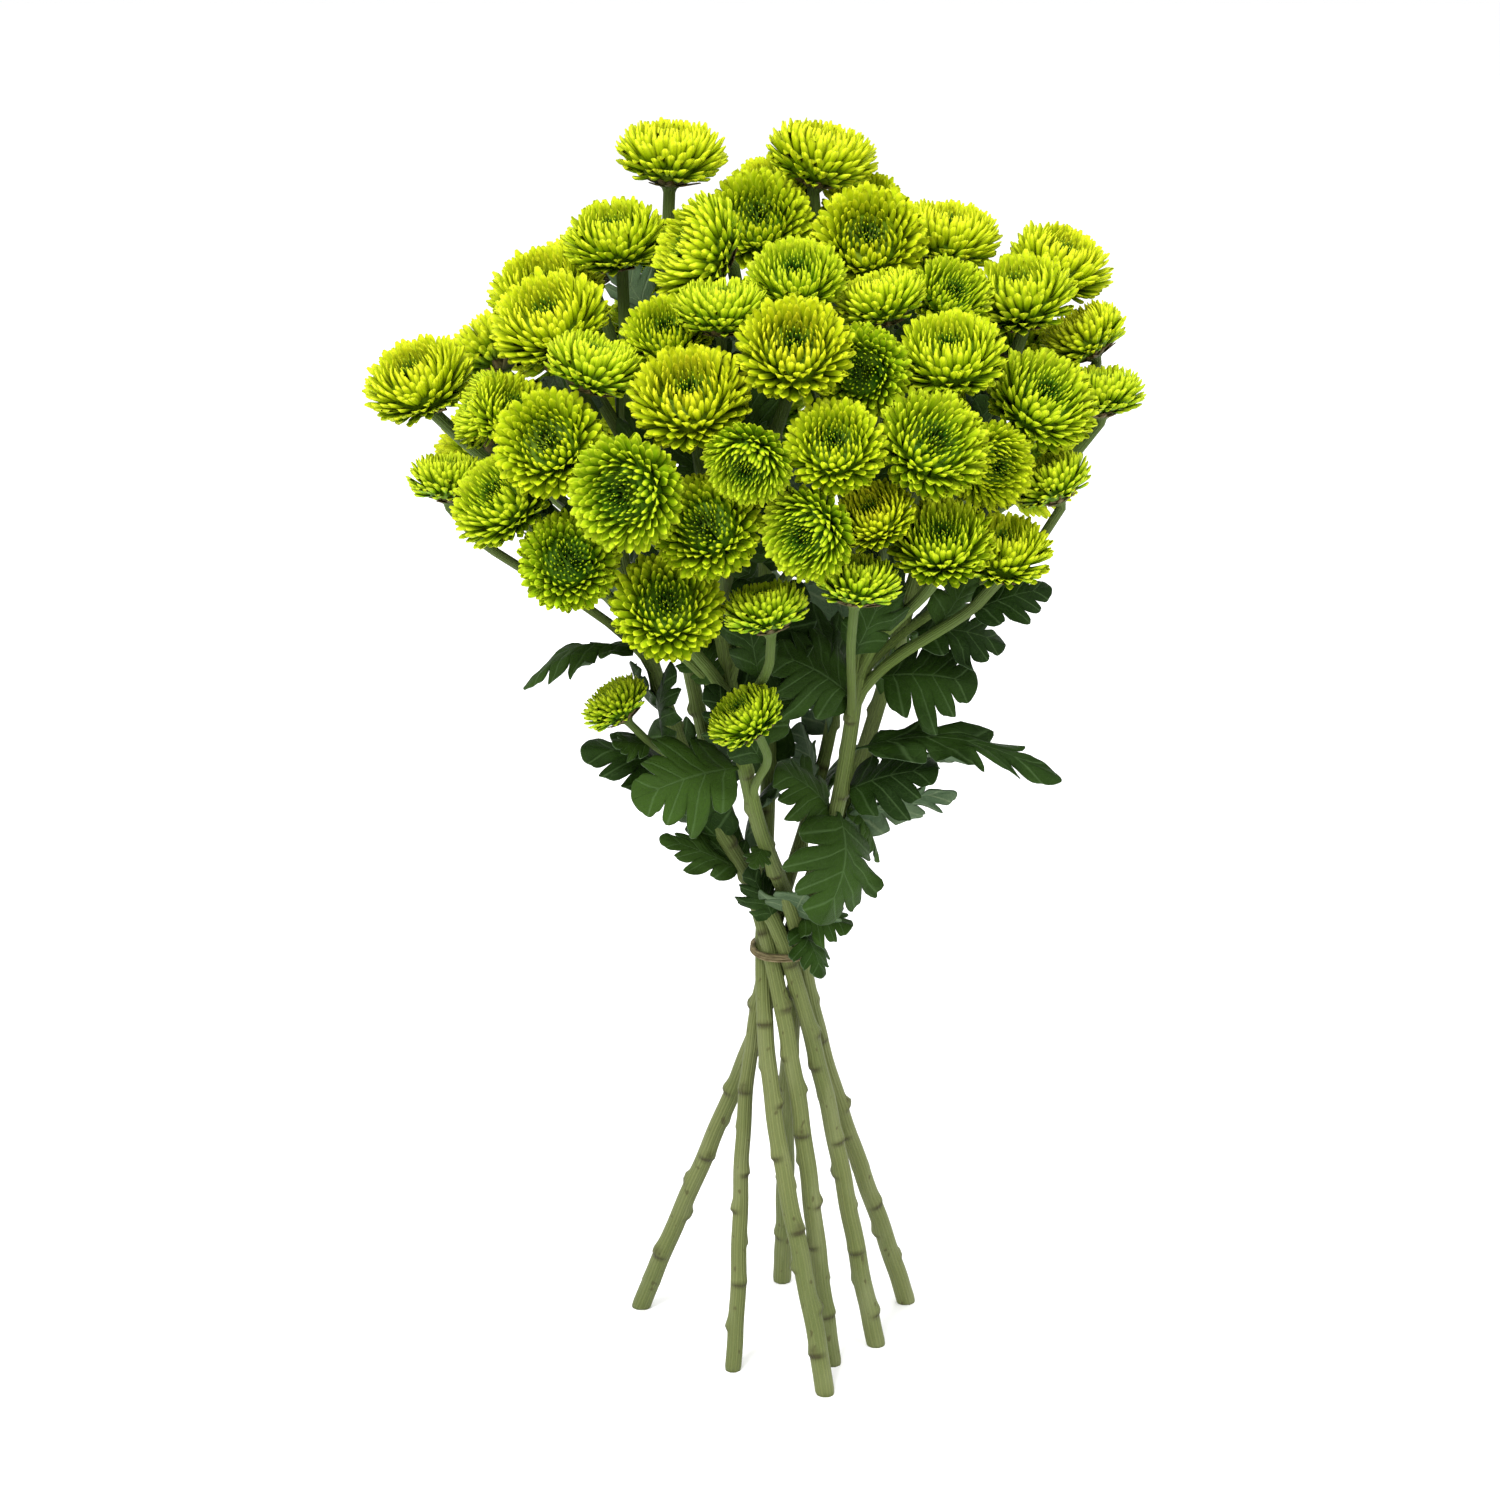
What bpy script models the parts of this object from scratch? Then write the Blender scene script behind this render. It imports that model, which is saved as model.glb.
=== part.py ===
"""A hand-tied bunch of green pompon chrysanthemums that stands on its seven cut stems.

Each stem is a spray: it forks into flower stalks and carries lobed leaves. The stems
cross at a tie, splay below it into the feet that the bunch stands on, and spread above
it under a dome of blooms. Everything is in metres, +Z is up and the cut ends lie at z = 0.
"""

import math
import random
from collections import namedtuple

import bmesh
import bpy
import numpy as np
from mathutils import Matrix, Vector

# Driving dimensions of the bunch.
WAIST_HEIGHT = 0.180
WAIST_CENTRE = Vector((0.004, 0.0, WAIST_HEIGHT))
WAIST_RING = 0.0082
WAIST_SLOPE = 0.30
STEM_RADIUS = 0.0033
FOOT_RADIUS = 0.0040
TOP_RADIUS = 0.0029
STEM_SIDES = 6
STALK_SIDES = 5
TAPER_HEIGHT = 0.17
NODE_SPACING = 0.033
NODE_SWELL = 1.16
FIRST_NODE = 0.012
NODE_STAGGER = 0.007
BARE_BELOW_WAIST = 0.020
LAST_NODE_CLEAR = 0.004
LINE_STEP = 0.003
FOOT_PULL = 0.35
WAIST_PULL = 0.40
FORK_PULL = 0.33
TOP_PULL = 0.70
HEAD_CENTRE = Vector((-0.008, 0.0, 0.390))
HEAD_HALF = Vector((0.138, 0.112, 0.090))

# The flower stalks. The cup is the green flare that a bloom sits in.
STALK_RADIUS = 0.0023
STALK_STEPS = 12
STALK_RINGS = (0, 7)
LONGEST_NECK = 0.024
NECK_SHARE = 0.38
LOWEST_FORK = 0.238
FORK_DROP = 0.020
FORK_SLOPE = 0.9
FORK_OUTWARD = 0.55
CUP_DEPTH = 0.44
CUP_RADIUS = 0.50
CUP_FOOT_SWELL = 1.1
SEAT_GAP = 0.0003
SUNK_SEAT = 0.0008

# The blooms. Heights and radii of a bloom are shares of its own radius.
LARGEST_BLOOM = 0.0245
BLOOM_FULLNESS = 1.02
BLOOM_HALF_HEIGHT = 0.58
BLOOM_MIDDLE = 0.06
BLOOM_RINGS = ((0.50, -0.42), (0.81, -0.20), (0.79, 0.15), (0.53, 0.38), (0.22, 0.42))
BLOOM_DIMPLE = 0.33
FLORET_TIPS = ((1.00, -0.08), (0.92, 0.33), (0.58, 0.58))
TIP_REACH = (0.95, 1.0)
FLORETS_AROUND = 9
BACK_FLORETS_AROUND = 7
DIMPLE_SHOWS_AT = 0.45
MOST_TURNED_AWAY = 0.97

# How the blooms settle against one another.
BLOOMS_APART = 0.0006
SETTLING_TURNS = 600
PULLED_TURNS = 450
PULL_HOME = 0.02
PUSH_APART = 0.35
PUSH_SIDEWAYS = 0.10
PUSH_DEEPER = 0.25

# Leaves and tie.
LEAF_THICKNESS = 0.0008
PETIOLE_HALF_WIDTH = 0.0011
BACK_LEAF_ARCH = 0.16
LEAF_SIDE = (
    (0.00, 0.05), (0.17, 0.09), (0.36, 0.70), (0.42, 0.38),
    (0.62, 1.00), (0.66, 0.50), (0.84, 0.70), (0.93, 0.30),
)
LEAF_RIB = (0.0, 0.30, 0.66, 1.0)
LEAF_FOLD = 0.30
LEAF_FACES_OUT = 1.2
TIE_HEIGHT = 0.0030
TIE_THICKNESS = 0.0016
TIE_SIDES = 14

# How the photograph looks at the bunch: a square frame of so many pixels a side.
FRAME = 1500
PIXEL = 0.00025
VIEW_ELEVATION = math.radians(20.0)
VIEW_DISTANCE = 1.6
VIEW_TARGET = Vector((-0.0096, 0.0, 0.2654))
RIGHT = Vector((1.0, 0.0, 0.0))
UP = Vector((0.0, math.sin(VIEW_ELEVATION), math.cos(VIEW_ELEVATION)))
FORWARD = Vector((0.0, math.cos(VIEW_ELEVATION), -math.sin(VIEW_ELEVATION)))
EYE = VIEW_TARGET - VIEW_DISTANCE * FORWARD

SeenBloom = namedtuple("SeenBloom", "name across down width face_across face_down behind")
Bloom = namedtuple("Bloom", "name centre axis radius florets")
Stem = namedtuple("Stem", "name foot_across foot_down waist_azimuth fork top")
SeenLeaf = namedtuple("SeenLeaf", "carrier across down tip_across tip_down forward width arch roll")
BackLeaf = namedtuple("BackLeaf", "carrier height azimuth rise length width")

# Each bloom that shows: the middle of its outline, its width and the dimple in its face,
# in pixels, and how far behind the head's surface it sits, in metres.
SEEN_BLOOMS = (
    SeenBloom("bloom_01", 671, 153, 106, 672, 130, 0.0),
    SeenBloom("bloom_02", 615, 242, 102, 612, 226, 0.0),
    SeenBloom("bloom_03", 551, 288, 112, 547, 272, 0.030),
    SeenBloom("bloom_04", 552, 325, 118, 546, 310, 0.0),
    SeenBloom("bloom_05", 423, 383, 108, 416, 368, 0.0),
    SeenBloom("bloom_06", 478, 407, 80, 463, 401, 0.028),
    SeenBloom("bloom_07", 517, 415, 85, 520, 405, 0.0),
    SeenBloom("bloom_08", 553, 445, 108, 549, 440, 0.0),
    SeenBloom("bloom_09", 611, 365, 96, 616, 348, 0.0),
    SeenBloom("bloom_10", 685, 398, 118, 683, 385, 0.0),
    SeenBloom("bloom_11", 690, 260, 114, 672, 252, 0.0),
    SeenBloom("bloom_12", 670, 325, 90, 668, 315, 0.010),
    SeenBloom("bloom_13", 735, 312, 92, 735, 295, 0.0),
    SeenBloom("bloom_14", 817, 165, 106, 822, 143, 0.0),
    SeenBloom("bloom_15", 772, 190, 100, 765, 175, 0.030),
    SeenBloom("bloom_16", 765, 213, 104, 765, 205, 0.0),
    SeenBloom("bloom_17", 870, 218, 88, 866, 210, 0.020),
    SeenBloom("bloom_18", 878, 250, 112, 878, 242, 0.0),
    SeenBloom("bloom_19", 950, 240, 102, 953, 222, 0.0),
    SeenBloom("bloom_20", 799, 285, 98, 798, 272, 0.0),
    SeenBloom("bloom_21", 873, 298, 92, 868, 281, 0.0),
    SeenBloom("bloom_22", 790, 352, 112, 790, 341, 0.0),
    SeenBloom("bloom_23", 865, 372, 94, 864, 372, 0.0),
    SeenBloom("bloom_24", 936, 355, 110, 935, 340, 0.0),
    SeenBloom("bloom_25", 945, 290, 84, 950, 282, 0.015),
    SeenBloom("bloom_26", 1012, 290, 108, 1010, 273, 0.0),
    SeenBloom("bloom_27", 1061, 266, 102, 1068, 250, 0.010),
    SeenBloom("bloom_28", 1078, 335, 84, 1068, 315, 0.010),
    SeenBloom("bloom_30", 1042, 400, 112, 1050, 388, 0.0),
    SeenBloom("bloom_31", 1100, 390, 84, 1100, 372, -0.010),
    SeenBloom("bloom_33", 744, 460, 86, 740, 468, 0.0),
    SeenBloom("bloom_34", 833, 448, 98, 833, 440, 0.0),
    SeenBloom("bloom_35", 926, 440, 112, 932, 432, 0.0),
    SeenBloom("bloom_36", 988, 468, 86, 995, 470, 0.0),
    SeenBloom("bloom_37", 1050, 480, 80, 1044, 466, 0.010),
    SeenBloom("bloom_38", 619, 488, 114, 612, 490, 0.0),
    SeenBloom("bloom_39", 712, 532, 106, 709, 528, 0.0),
    SeenBloom("bloom_40", 803, 525, 96, 795, 530, 0.0),
    SeenBloom("bloom_41", 872, 518, 82, 868, 508, 0.0),
    SeenBloom("bloom_42", 866, 575, 84, 868, 560, 0.0),
    SeenBloom("bloom_43", 938, 542, 102, 938, 530, 0.0),
    SeenBloom("bloom_44", 998, 550, 98, 1000, 535, 0.0),
    SeenBloom("bloom_46", 765, 608, 84, 761, 588, 0.010),
    SeenBloom("bloom_47", 664, 594, 110, 664, 588, 0.0),
    SeenBloom("bloom_48", 572, 560, 98, 572, 557, 0.0),
    SeenBloom("bloom_49", 508, 500, 104, 498, 490, 0.0),
    SeenBloom("bloom_50", 450, 478, 80, 450, 463, 0.010),
    SeenBloom("bloom_51", 615, 703, 68, 607, 692, 0.015),
    SeenBloom("bloom_52", 745, 716, 76, 738, 706, -0.036),
)

# Rows of blooms on the side that the photograph doesn't show: how many, their latitude on
# the head, and the azimuths of the first and the last, counted from +X towards +Y.
BACK_HALF = Vector((0.125, 0.106, 0.092))
BACK_ROWS = ((7, -10.0, 24.0, 156.0), (7, 17.0, 22.0, 154.0), (4, 43.0, 44.0, 138.0))
BACK_BLOOM_RADIUS = 0.0225
BACK_BLOOM_VARIES = 0.06
BACK_BLOOM_LIFT = Vector((0.0, 0.0, 0.25))
GOLDEN_TURN = 2.4

# Each stem: the pixel of its cut end, its azimuth where it passes the tie, and the points
# of its lowest fork and its top.
STEMS = (
    Stem("stem_a", 641, 1306, 75.0, (0.034, 0.008, 0.255), (0.060, 0.010, 0.350)),
    Stem("stem_b", 733, 1369, 126.0, (0.022, 0.028, 0.258), (0.036, 0.046, 0.350)),
    Stem("stem_c", 782, 1280, 23.0, (0.026, -0.022, 0.255), (0.036, -0.046, 0.345)),
    Stem("stem_d", 825, 1393, 178.0, (-0.002, 0.034, 0.258), (-0.004, 0.056, 0.350)),
    Stem("stem_e", 832, 1363, 229.0, (-0.026, 0.022, 0.255), (-0.046, 0.038, 0.350)),
    Stem("stem_f", 876, 1344, 280.0, (-0.032, -0.006, 0.255), (-0.060, -0.010, 0.345)),
    Stem("stem_g", 906, 1301, 332.0, (-0.008, -0.031, 0.252), (-0.022, -0.052, 0.340)),
)

# Each leaf that shows: what carries it, a stem or a bloom's stalk; the pixels near its foot
# and at its tip; how far its tip comes forward of its foot and its width, in metres; its
# arch as a share of its length; and its roll about its rib, in degrees.
SEEN_LEAVES = (
    SeenLeaf("bloom_49", 622, 668, 523, 688, 0.012, 0.030, 0.20, 0.0),
    SeenLeaf("bloom_51", 655, 750, 612, 742, 0.004, 0.016, 0.05, 0.0),
    SeenLeaf("stem_g", 715, 772, 632, 800, 0.016, 0.044, 0.16, -10.0),
    SeenLeaf("stem_f", 722, 885, 660, 837, 0.010, 0.020, 0.06, 0.0),
    SeenLeaf("stem_f", 690, 712, 630, 662, 0.004, 0.028, 0.12, 15.0),
    SeenLeaf("stem_g", 738, 752, 762, 645, -0.014, 0.046, 0.08, 0.0),
    SeenLeaf("bloom_42", 850, 700, 772, 652, 0.012, 0.044, 0.12, -10.0),
    SeenLeaf("bloom_44", 900, 705, 978, 684, 0.006, 0.044, 0.12, 10.0),
    SeenLeaf("bloom_37", 950, 690, 1006, 645, -0.006, 0.030, 0.12, 0.0),
    SeenLeaf("stem_a", 880, 760, 980, 728, 0.000, 0.044, 0.10, 0.0),
    SeenLeaf("stem_c", 870, 752, 1062, 780, 0.020, 0.030, 0.16, 0.0),
    SeenLeaf("stem_c", 862, 800, 938, 768, 0.014, 0.036, 0.10, 10.0),
    SeenLeaf("stem_a", 862, 850, 957, 792, 0.008, 0.032, 0.10, 0.0),
    SeenLeaf("stem_c", 845, 805, 820, 925, 0.026, 0.050, 0.22, 0.0),
    SeenLeaf("stem_g", 790, 925, 822, 978, 0.018, 0.022, 0.12, 0.0),
    SeenLeaf("stem_g", 776, 925, 852, 926, 0.012, 0.024, 0.12, 0.0),
    SeenLeaf("stem_g", 766, 925, 806, 893, 0.020, 0.036, 0.10, 60.0),
    SeenLeaf("stem_f", 733, 880, 697, 828, -0.004, 0.026, 0.10, 10.0),
    SeenLeaf("bloom_47", 709, 690, 687, 634, -0.006, 0.022, 0.08, 0.0),
    SeenLeaf("stem_c", 828, 818, 776, 768, 0.006, 0.038, 0.12, 0.0),
    SeenLeaf("stem_b", 815, 800, 800, 722, -0.016, 0.042, 0.08, 0.0),
    SeenLeaf("stem_e", 752, 790, 722, 712, -0.006, 0.038, 0.10, 0.0),
    SeenLeaf("bloom_44", 985, 640, 1052, 588, -0.006, 0.024, 0.14, 0.0),
    SeenLeaf("stem_a", 872, 815, 880, 862, 0.010, 0.024, 0.10, 0.0),
    SeenLeaf("stem_a", 905, 715, 925, 628, -0.012, 0.040, 0.08, 0.0),
    SeenLeaf("stem_b", 790, 735, 805, 650, -0.014, 0.040, 0.08, 0.0),
    SeenLeaf("stem_g", 760, 845, 752, 868, 0.010, 0.012, 0.05, 0.0),
    SeenLeaf("stem_f", 765, 925, 748, 868, 0.012, 0.020, 0.08, 0.0),
)

# The leaves of the hidden side: what carries each, the height of its foot, its azimuth and
# its rise, in degrees, and its length and width.
BACK_LEAVES = (
    BackLeaf("stem_a", 0.232, 5.0, 30.0, 0.056, 0.040),
    BackLeaf("stem_a", 0.305, 8.0, 28.0, 0.052, 0.038),
    BackLeaf("stem_b", 0.226, 42.0, 28.0, 0.058, 0.042),
    BackLeaf("stem_b", 0.285, 62.0, 34.0, 0.060, 0.044),
    BackLeaf("stem_d", 0.240, 86.0, 30.0, 0.060, 0.042),
    BackLeaf("stem_d", 0.300, 106.0, 30.0, 0.060, 0.042),
    BackLeaf("stem_e", 0.228, 128.0, 30.0, 0.058, 0.040),
    BackLeaf("stem_e", 0.290, 150.0, 32.0, 0.058, 0.042),
    BackLeaf("stem_f", 0.246, 184.0, 26.0, 0.054, 0.038),
)

random.seed(7)


def clear_scene():
    """Removes whatever the file opens with."""
    for old in list(bpy.data.objects):
        bpy.data.objects.remove(old)


def material(name, colour, roughness):
    """A plain Principled finish."""
    made = bpy.data.materials.new(name)
    made.use_nodes = True
    shader = made.node_tree.nodes["Principled BSDF"]
    shader.inputs["Base Color"].default_value = (*colour, 1.0)
    shader.inputs["Roughness"].default_value = roughness
    shader.inputs["Metallic"].default_value = 0.0
    return made


def sight_direction(across, down):
    """The direction of sight through a pixel, one metre deep."""
    middle = FRAME / 2
    return FORWARD + PIXEL * ((across - middle) * RIGHT - (down - middle) * UP)


def seen_at(across, down, y):
    """The point at depth y that shows at a pixel."""
    direction = sight_direction(across, down)
    return EYE + direction * ((y - EYE.y) / direction.y)


def seen_on_ground(across, down):
    """The point of the surface under the bunch that shows at a pixel."""
    direction = sight_direction(across, down)
    return EYE - direction * (EYE.z / direction.z)


def direction_at(turn, rise):
    """The unit vector at an azimuth and a rise above the level, both in radians."""
    level = math.cos(rise)
    return Vector((level * math.cos(turn), level * math.sin(turn), math.sin(rise)))


def shares(vector, parts):
    """A vector divided by another, part by part."""
    return Vector((vector.x / parts.x, vector.y / parts.y, vector.z / parts.z))


def seen_on_head(across, down):
    """The point of the head's surface that a line of sight meets first, or passes nearest."""
    direction = sight_direction(across, down)
    start = shares(EYE - HEAD_CENTRE, HEAD_HALF)
    step = shares(direction, HEAD_HALF)
    a, b, c = step.dot(step), step.dot(start), start.dot(start) - 1.0
    inside = max(b * b - a * c, 0.0)
    return EYE + direction * ((-b - math.sqrt(inside)) / a)


def facing(seen, centre):
    """The axis of a bloom, from how far its dimple shows beside the middle of its outline."""
    lever = DIMPLE_SHOWS_AT * seen.width / 2
    side = (seen.face_across - seen.across) / lever
    rise = (seen.down - seen.face_down) / lever
    length = math.hypot(side, rise)
    if length > MOST_TURNED_AWAY:
        side *= MOST_TURNED_AWAY / length
        rise *= MOST_TURNED_AWAY / length
        length = MOST_TURNED_AWAY
    towards = (EYE - centre).normalized()
    flat_up = (UP - UP.dot(towards) * towards).normalized()
    flat_right = flat_up.cross(towards)
    depth = math.sqrt(1 - length * length)
    return (side * flat_right + rise * flat_up + depth * towards).normalized()


def back_blooms():
    """The blooms on the hidden side, in rows that follow the head."""
    blooms = []
    for row, (count, latitude, first, last) in enumerate(BACK_ROWS):
        rise = math.radians(latitude)
        for place in range(count):
            turn = math.radians(first + (last - first) * place / (count - 1))
            out = direction_at(turn, rise)
            centre = HEAD_CENTRE + out * BACK_HALF
            axis = (shares(out, BACK_HALF).normalized() + BACK_BLOOM_LIFT).normalized()
            smaller = BACK_BLOOM_VARIES * (1 - math.cos(GOLDEN_TURN * place + row))
            radius = BACK_BLOOM_RADIUS * (1 - smaller)
            blooms.append(Bloom(f"back_{row + 1}_{place + 1}", centre, axis, radius, BACK_FLORETS_AROUND))
    return blooms


def reach(axes, radii, apart):
    """How far blooms reach along unit vectors: between an ellipsoid's radius and its support."""
    along = np.abs(np.einsum("ijk,ijk->ij", axes, apart))
    across = 1.0 - along**2
    support = np.sqrt(across + (BLOOM_HALF_HEIGHT * along) ** 2)
    radial = 1.0 / np.sqrt(across + (along / BLOOM_HALF_HEIGHT) ** 2)
    return radii * (support + radial) / 2


def presses(place, axis, radius):
    """How deep each bloom presses into each other one, and the unit vectors between them."""
    middle = place + BLOOM_MIDDLE * radius[:, None] * axis
    gap = middle[None, :, :] - middle[:, None, :]
    distance = np.linalg.norm(gap, axis=2) + np.eye(len(place))
    apart = gap / distance[:, :, None]
    mine = reach(np.broadcast_to(axis[:, None, :], gap.shape), radius[:, None], apart)
    theirs = reach(np.broadcast_to(axis[None, :, :], gap.shape), radius[None, :], apart)
    press = np.clip(mine + theirs + BLOOMS_APART - distance, 0.0, None)
    np.fill_diagonal(press, 0.0)
    return press, apart


def settled(seen, fixed):
    """The blooms that show, slid along their lines of sight until none presses on another."""
    starts = [seen_on_head(bloom.across, bloom.down) for bloom in seen]
    sights = [sight_direction(bloom.across, bloom.down).normalized() for bloom in seen]
    starts = [start + bloom.behind * sight for start, bloom, sight in zip(starts, seen, sights)]
    axes = [facing(bloom, start) for bloom, start in zip(seen, starts)]
    radii = [
        min(bloom.width / 2 * PIXEL * (start - EYE).dot(FORWARD), LARGEST_BLOOM) * BLOOM_FULLNESS
        for bloom, start in zip(seen, starts)
    ]
    home = np.array([*starts, *[bloom.centre for bloom in fixed]])
    axis = np.array([*axes, *[bloom.axis for bloom in fixed]])
    radius = np.array([*radii, *[bloom.radius for bloom in fixed]])
    sight = np.array([*sights, *[Vector() for _ in fixed]])
    place = home.copy()
    for turn in range(SETTLING_TURNS):
        press, apart = presses(place, axis, radius)
        push = -(apart * press[:, :, None]).sum(axis=1) * PUSH_APART
        deeper = np.sign((apart * sight[:, None, :]).sum(axis=2))
        push -= PUSH_DEEPER * (deeper * press).sum(axis=1)[:, None] * sight
        if turn < PULLED_TURNS:
            push += PULL_HOME * (home - place)
        along = (push * sight).sum(axis=1)[:, None] * sight
        place[:len(seen)] += (along + PUSH_SIDEWAYS * (push - along))[:len(seen)]
    shown = []
    for index, bloom in enumerate(seen):
        centre, upward = Vector(place[index]), Vector(axis[index])
        shown.append(Bloom(bloom.name, centre, upward, float(radius[index]), FLORETS_AROUND))
    return shown


def object_from(mesh_maker, name, finish):
    """An object whose mesh is the one that mesh_maker fills in."""
    shape = bmesh.new()
    mesh_maker(shape)
    bmesh.ops.recalc_face_normals(shape, faces=shape.faces)
    mesh = bpy.data.meshes.new(name)
    shape.to_mesh(mesh)
    shape.free()
    mesh.materials.append(finish)
    made = bpy.data.objects.new(name, mesh)
    bpy.context.scene.collection.objects.link(made)
    return made


def bloom_rings(shape, count):
    """The rings of corners that the florets stand between, each turned half a step on."""
    step = 2 * math.pi / count
    rings = []
    for level, (out, rise) in enumerate(BLOOM_RINGS):
        ring = []
        for place in range(count):
            angle = step * (place + 0.5 * (level % 2))
            ring.append(shape.verts.new((out * math.cos(angle), out * math.sin(angle), rise)))
        rings.append(ring)
    return rings


def bloom_mesh(shape, bloom):
    """A lattice of diamonds round a low dome, each drawn out to a floret's tip."""
    count = bloom.florets
    rings = bloom_rings(shape, count)
    shape.faces.new(reversed(rings[0]))
    for place in range(count):
        shape.faces.new((rings[0][place], rings[0][(place + 1) % count], rings[1][place]))
    for level in range(1, len(rings) - 1):
        florets = []
        for place in range(count):
            ahead = (place + 1) % count
            left, right = rings[level][place], rings[level][ahead]
            shared = ahead if level % 2 else place
            corners = (rings[level - 1][shared], right, rings[level + 1][shared], left)
            florets.append(shape.faces.new(corners))
        tips = bmesh.ops.poke(shape, faces=florets)["verts"]
        out, rise = FLORET_TIPS[level - 1]
        for tip in tips:
            angle = math.atan2(tip.co.y, tip.co.x)
            reach_out = out * random.uniform(*TIP_REACH)
            tip.co = (reach_out * math.cos(angle), reach_out * math.sin(angle), rise)
    top = rings[-1]
    last = len(rings) - 1
    for place in range(count):
        ahead = (place + 1) % count
        below = rings[last - 1][ahead if last % 2 else place]
        shape.faces.new((below, top[ahead], top[place]))
    crown = shape.faces.new(top)
    dimple = bmesh.ops.poke(shape, faces=[crown])["verts"][0]
    dimple.co = (0.0, 0.0, BLOOM_DIMPLE)
    turn = Vector((0, 0, 1)).rotation_difference(bloom.axis).to_matrix().to_4x4()
    to_place = Matrix.Translation(bloom.centre) @ turn @ Matrix.Scale(bloom.radius, 4)
    bmesh.ops.transform(shape, matrix=to_place, verts=shape.verts)


def frames_along(points):
    """A turn for each point of a path that follows it without twisting."""
    turns = []
    last = None
    for index, point in enumerate(points):
        ahead = points[min(index + 1, len(points) - 1)] - points[max(index - 1, 0)]
        ahead.normalize()
        if last is None:
            turn = Vector((0, 0, 1)).rotation_difference(ahead)
        else:
            turn = last[1].rotation_difference(ahead) @ last[0]
        turns.append(turn)
        last = (turn, ahead)
    return turns


def tube_mesh(shape, points, radii, sides, flat_foot=False):
    """A closed tube along a path, with a radius at each point."""
    rings = []
    for point, radius, turn in zip(points, radii, frames_along(points)):
        place = Matrix.Translation(point) @ turn.to_matrix().to_4x4()
        ring = bmesh.ops.create_circle(shape, segments=sides, radius=radius, matrix=place)["verts"]
        rings.append(ring)
    if flat_foot:
        ahead = (points[1] - points[0]).normalized()
        for corner in rings[0]:
            corner.co -= ahead * (corner.co.z / ahead.z)
            corner.co.z = 0.0
    for lower, upper in zip(rings, rings[1:]):
        for place in range(sides):
            ahead = (place + 1) % sides
            shape.faces.new((lower[place], lower[ahead], upper[ahead], upper[place]))
    shape.faces.new(reversed(rings[0]))
    shape.faces.new(rings[-1])


def curve_point(points, share):
    """A point of the cubic Bezier curve with four control points."""
    rest = 1 - share
    a, b, c, d = points
    return rest**3 * a + 3 * rest**2 * share * b + 3 * rest * share**2 * c + share**3 * d


def waist_point(stem):
    """Where a stem passes the tie, and its direction there."""
    turn = math.radians(stem.waist_azimuth)
    centre = WAIST_CENTRE + WAIST_RING * Vector((math.cos(turn), math.sin(turn), 0.0))
    lean = Vector((math.sin(turn), -math.cos(turn), 0.0))
    return centre, (WAIST_SLOPE * lean + Vector((0.0, 0.0, 1.0))).normalized()


def stem_line(stem):
    """The middle line of a stem from its cut end to its top."""
    foot = seen_on_ground(stem.foot_across, stem.foot_down)
    foot.z = 0.0
    waist, ahead = waist_point(stem)
    fork, top = Vector(stem.fork), Vector(stem.top)
    below = (waist - foot).length
    above = (fork - waist).length
    rise = (top - waist).normalized()
    legs = (
        (foot, foot.lerp(waist, FOOT_PULL), waist - WAIST_PULL * below * ahead, waist),
        (waist, waist + FOOT_PULL * above * ahead, fork - FOOT_PULL * above * rise, fork),
        (fork, fork + FORK_PULL * (top - fork).length * rise, fork.lerp(top, TOP_PULL), top),
    )
    line = []
    for leg in legs:
        count = round((leg[3] - leg[0]).length / LINE_STEP)
        line += [curve_point(leg, place / count) for place in range(count)]
    return [*line, top]


def nearest_place(line, height):
    """The index of the first point of a line at or above a height."""
    for index, point in enumerate(line):
        if point.z >= height:
            return index
    return len(line) - 1


def stem_radius(height):
    """A stem tapers from its foot to the tie, and from there to its top."""
    if height < WAIST_HEIGHT:
        return FOOT_RADIUS + (STEM_RADIUS - FOOT_RADIUS) * height / WAIST_HEIGHT
    share = min((height - WAIST_HEIGHT) / TAPER_HEIGHT, 1.0)
    return STEM_RADIUS + (TOP_RADIUS - STEM_RADIUS) * share


def stem_body(stem, line, finish):
    """The main stem: a tube that swells at each leaf node below the tie."""
    top = line[-1].z - LAST_NODE_CLEAR
    points, radii = [line[0]], [FOOT_RADIUS]
    height = FIRST_NODE + NODE_STAGGER * STEMS.index(stem)
    while height < top:
        swell = NODE_SWELL if height < WAIST_HEIGHT - BARE_BELOW_WAIST else 1.0
        points.append(line[nearest_place(line, height)])
        radii.append(stem_radius(height) * swell)
        between = height + NODE_SPACING / 2
        if height < WAIST_HEIGHT:
            points.append(line[nearest_place(line, between)])
            radii.append(stem_radius(between))
        height += NODE_SPACING
    points.append(line[-1])
    radii.append(TOP_RADIUS)
    return object_from(
        lambda shape: tube_mesh(shape, points, radii, STEM_SIDES, flat_foot=True), stem.name, finish
    )


def azimuth(point):
    """The azimuth of a point round the bunch's upright axis, in degrees from 0 to 360."""
    return math.degrees(math.atan2(point.y, point.x)) % 360


def stem_for(bloom):
    """The stem whose top is nearest in azimuth to a bloom."""
    def difference(stem):
        turn = abs(azimuth(Vector(stem.top)) - azimuth(bloom.centre)) % 360
        return min(turn, 360 - turn)

    return min(STEMS, key=difference)


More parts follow.
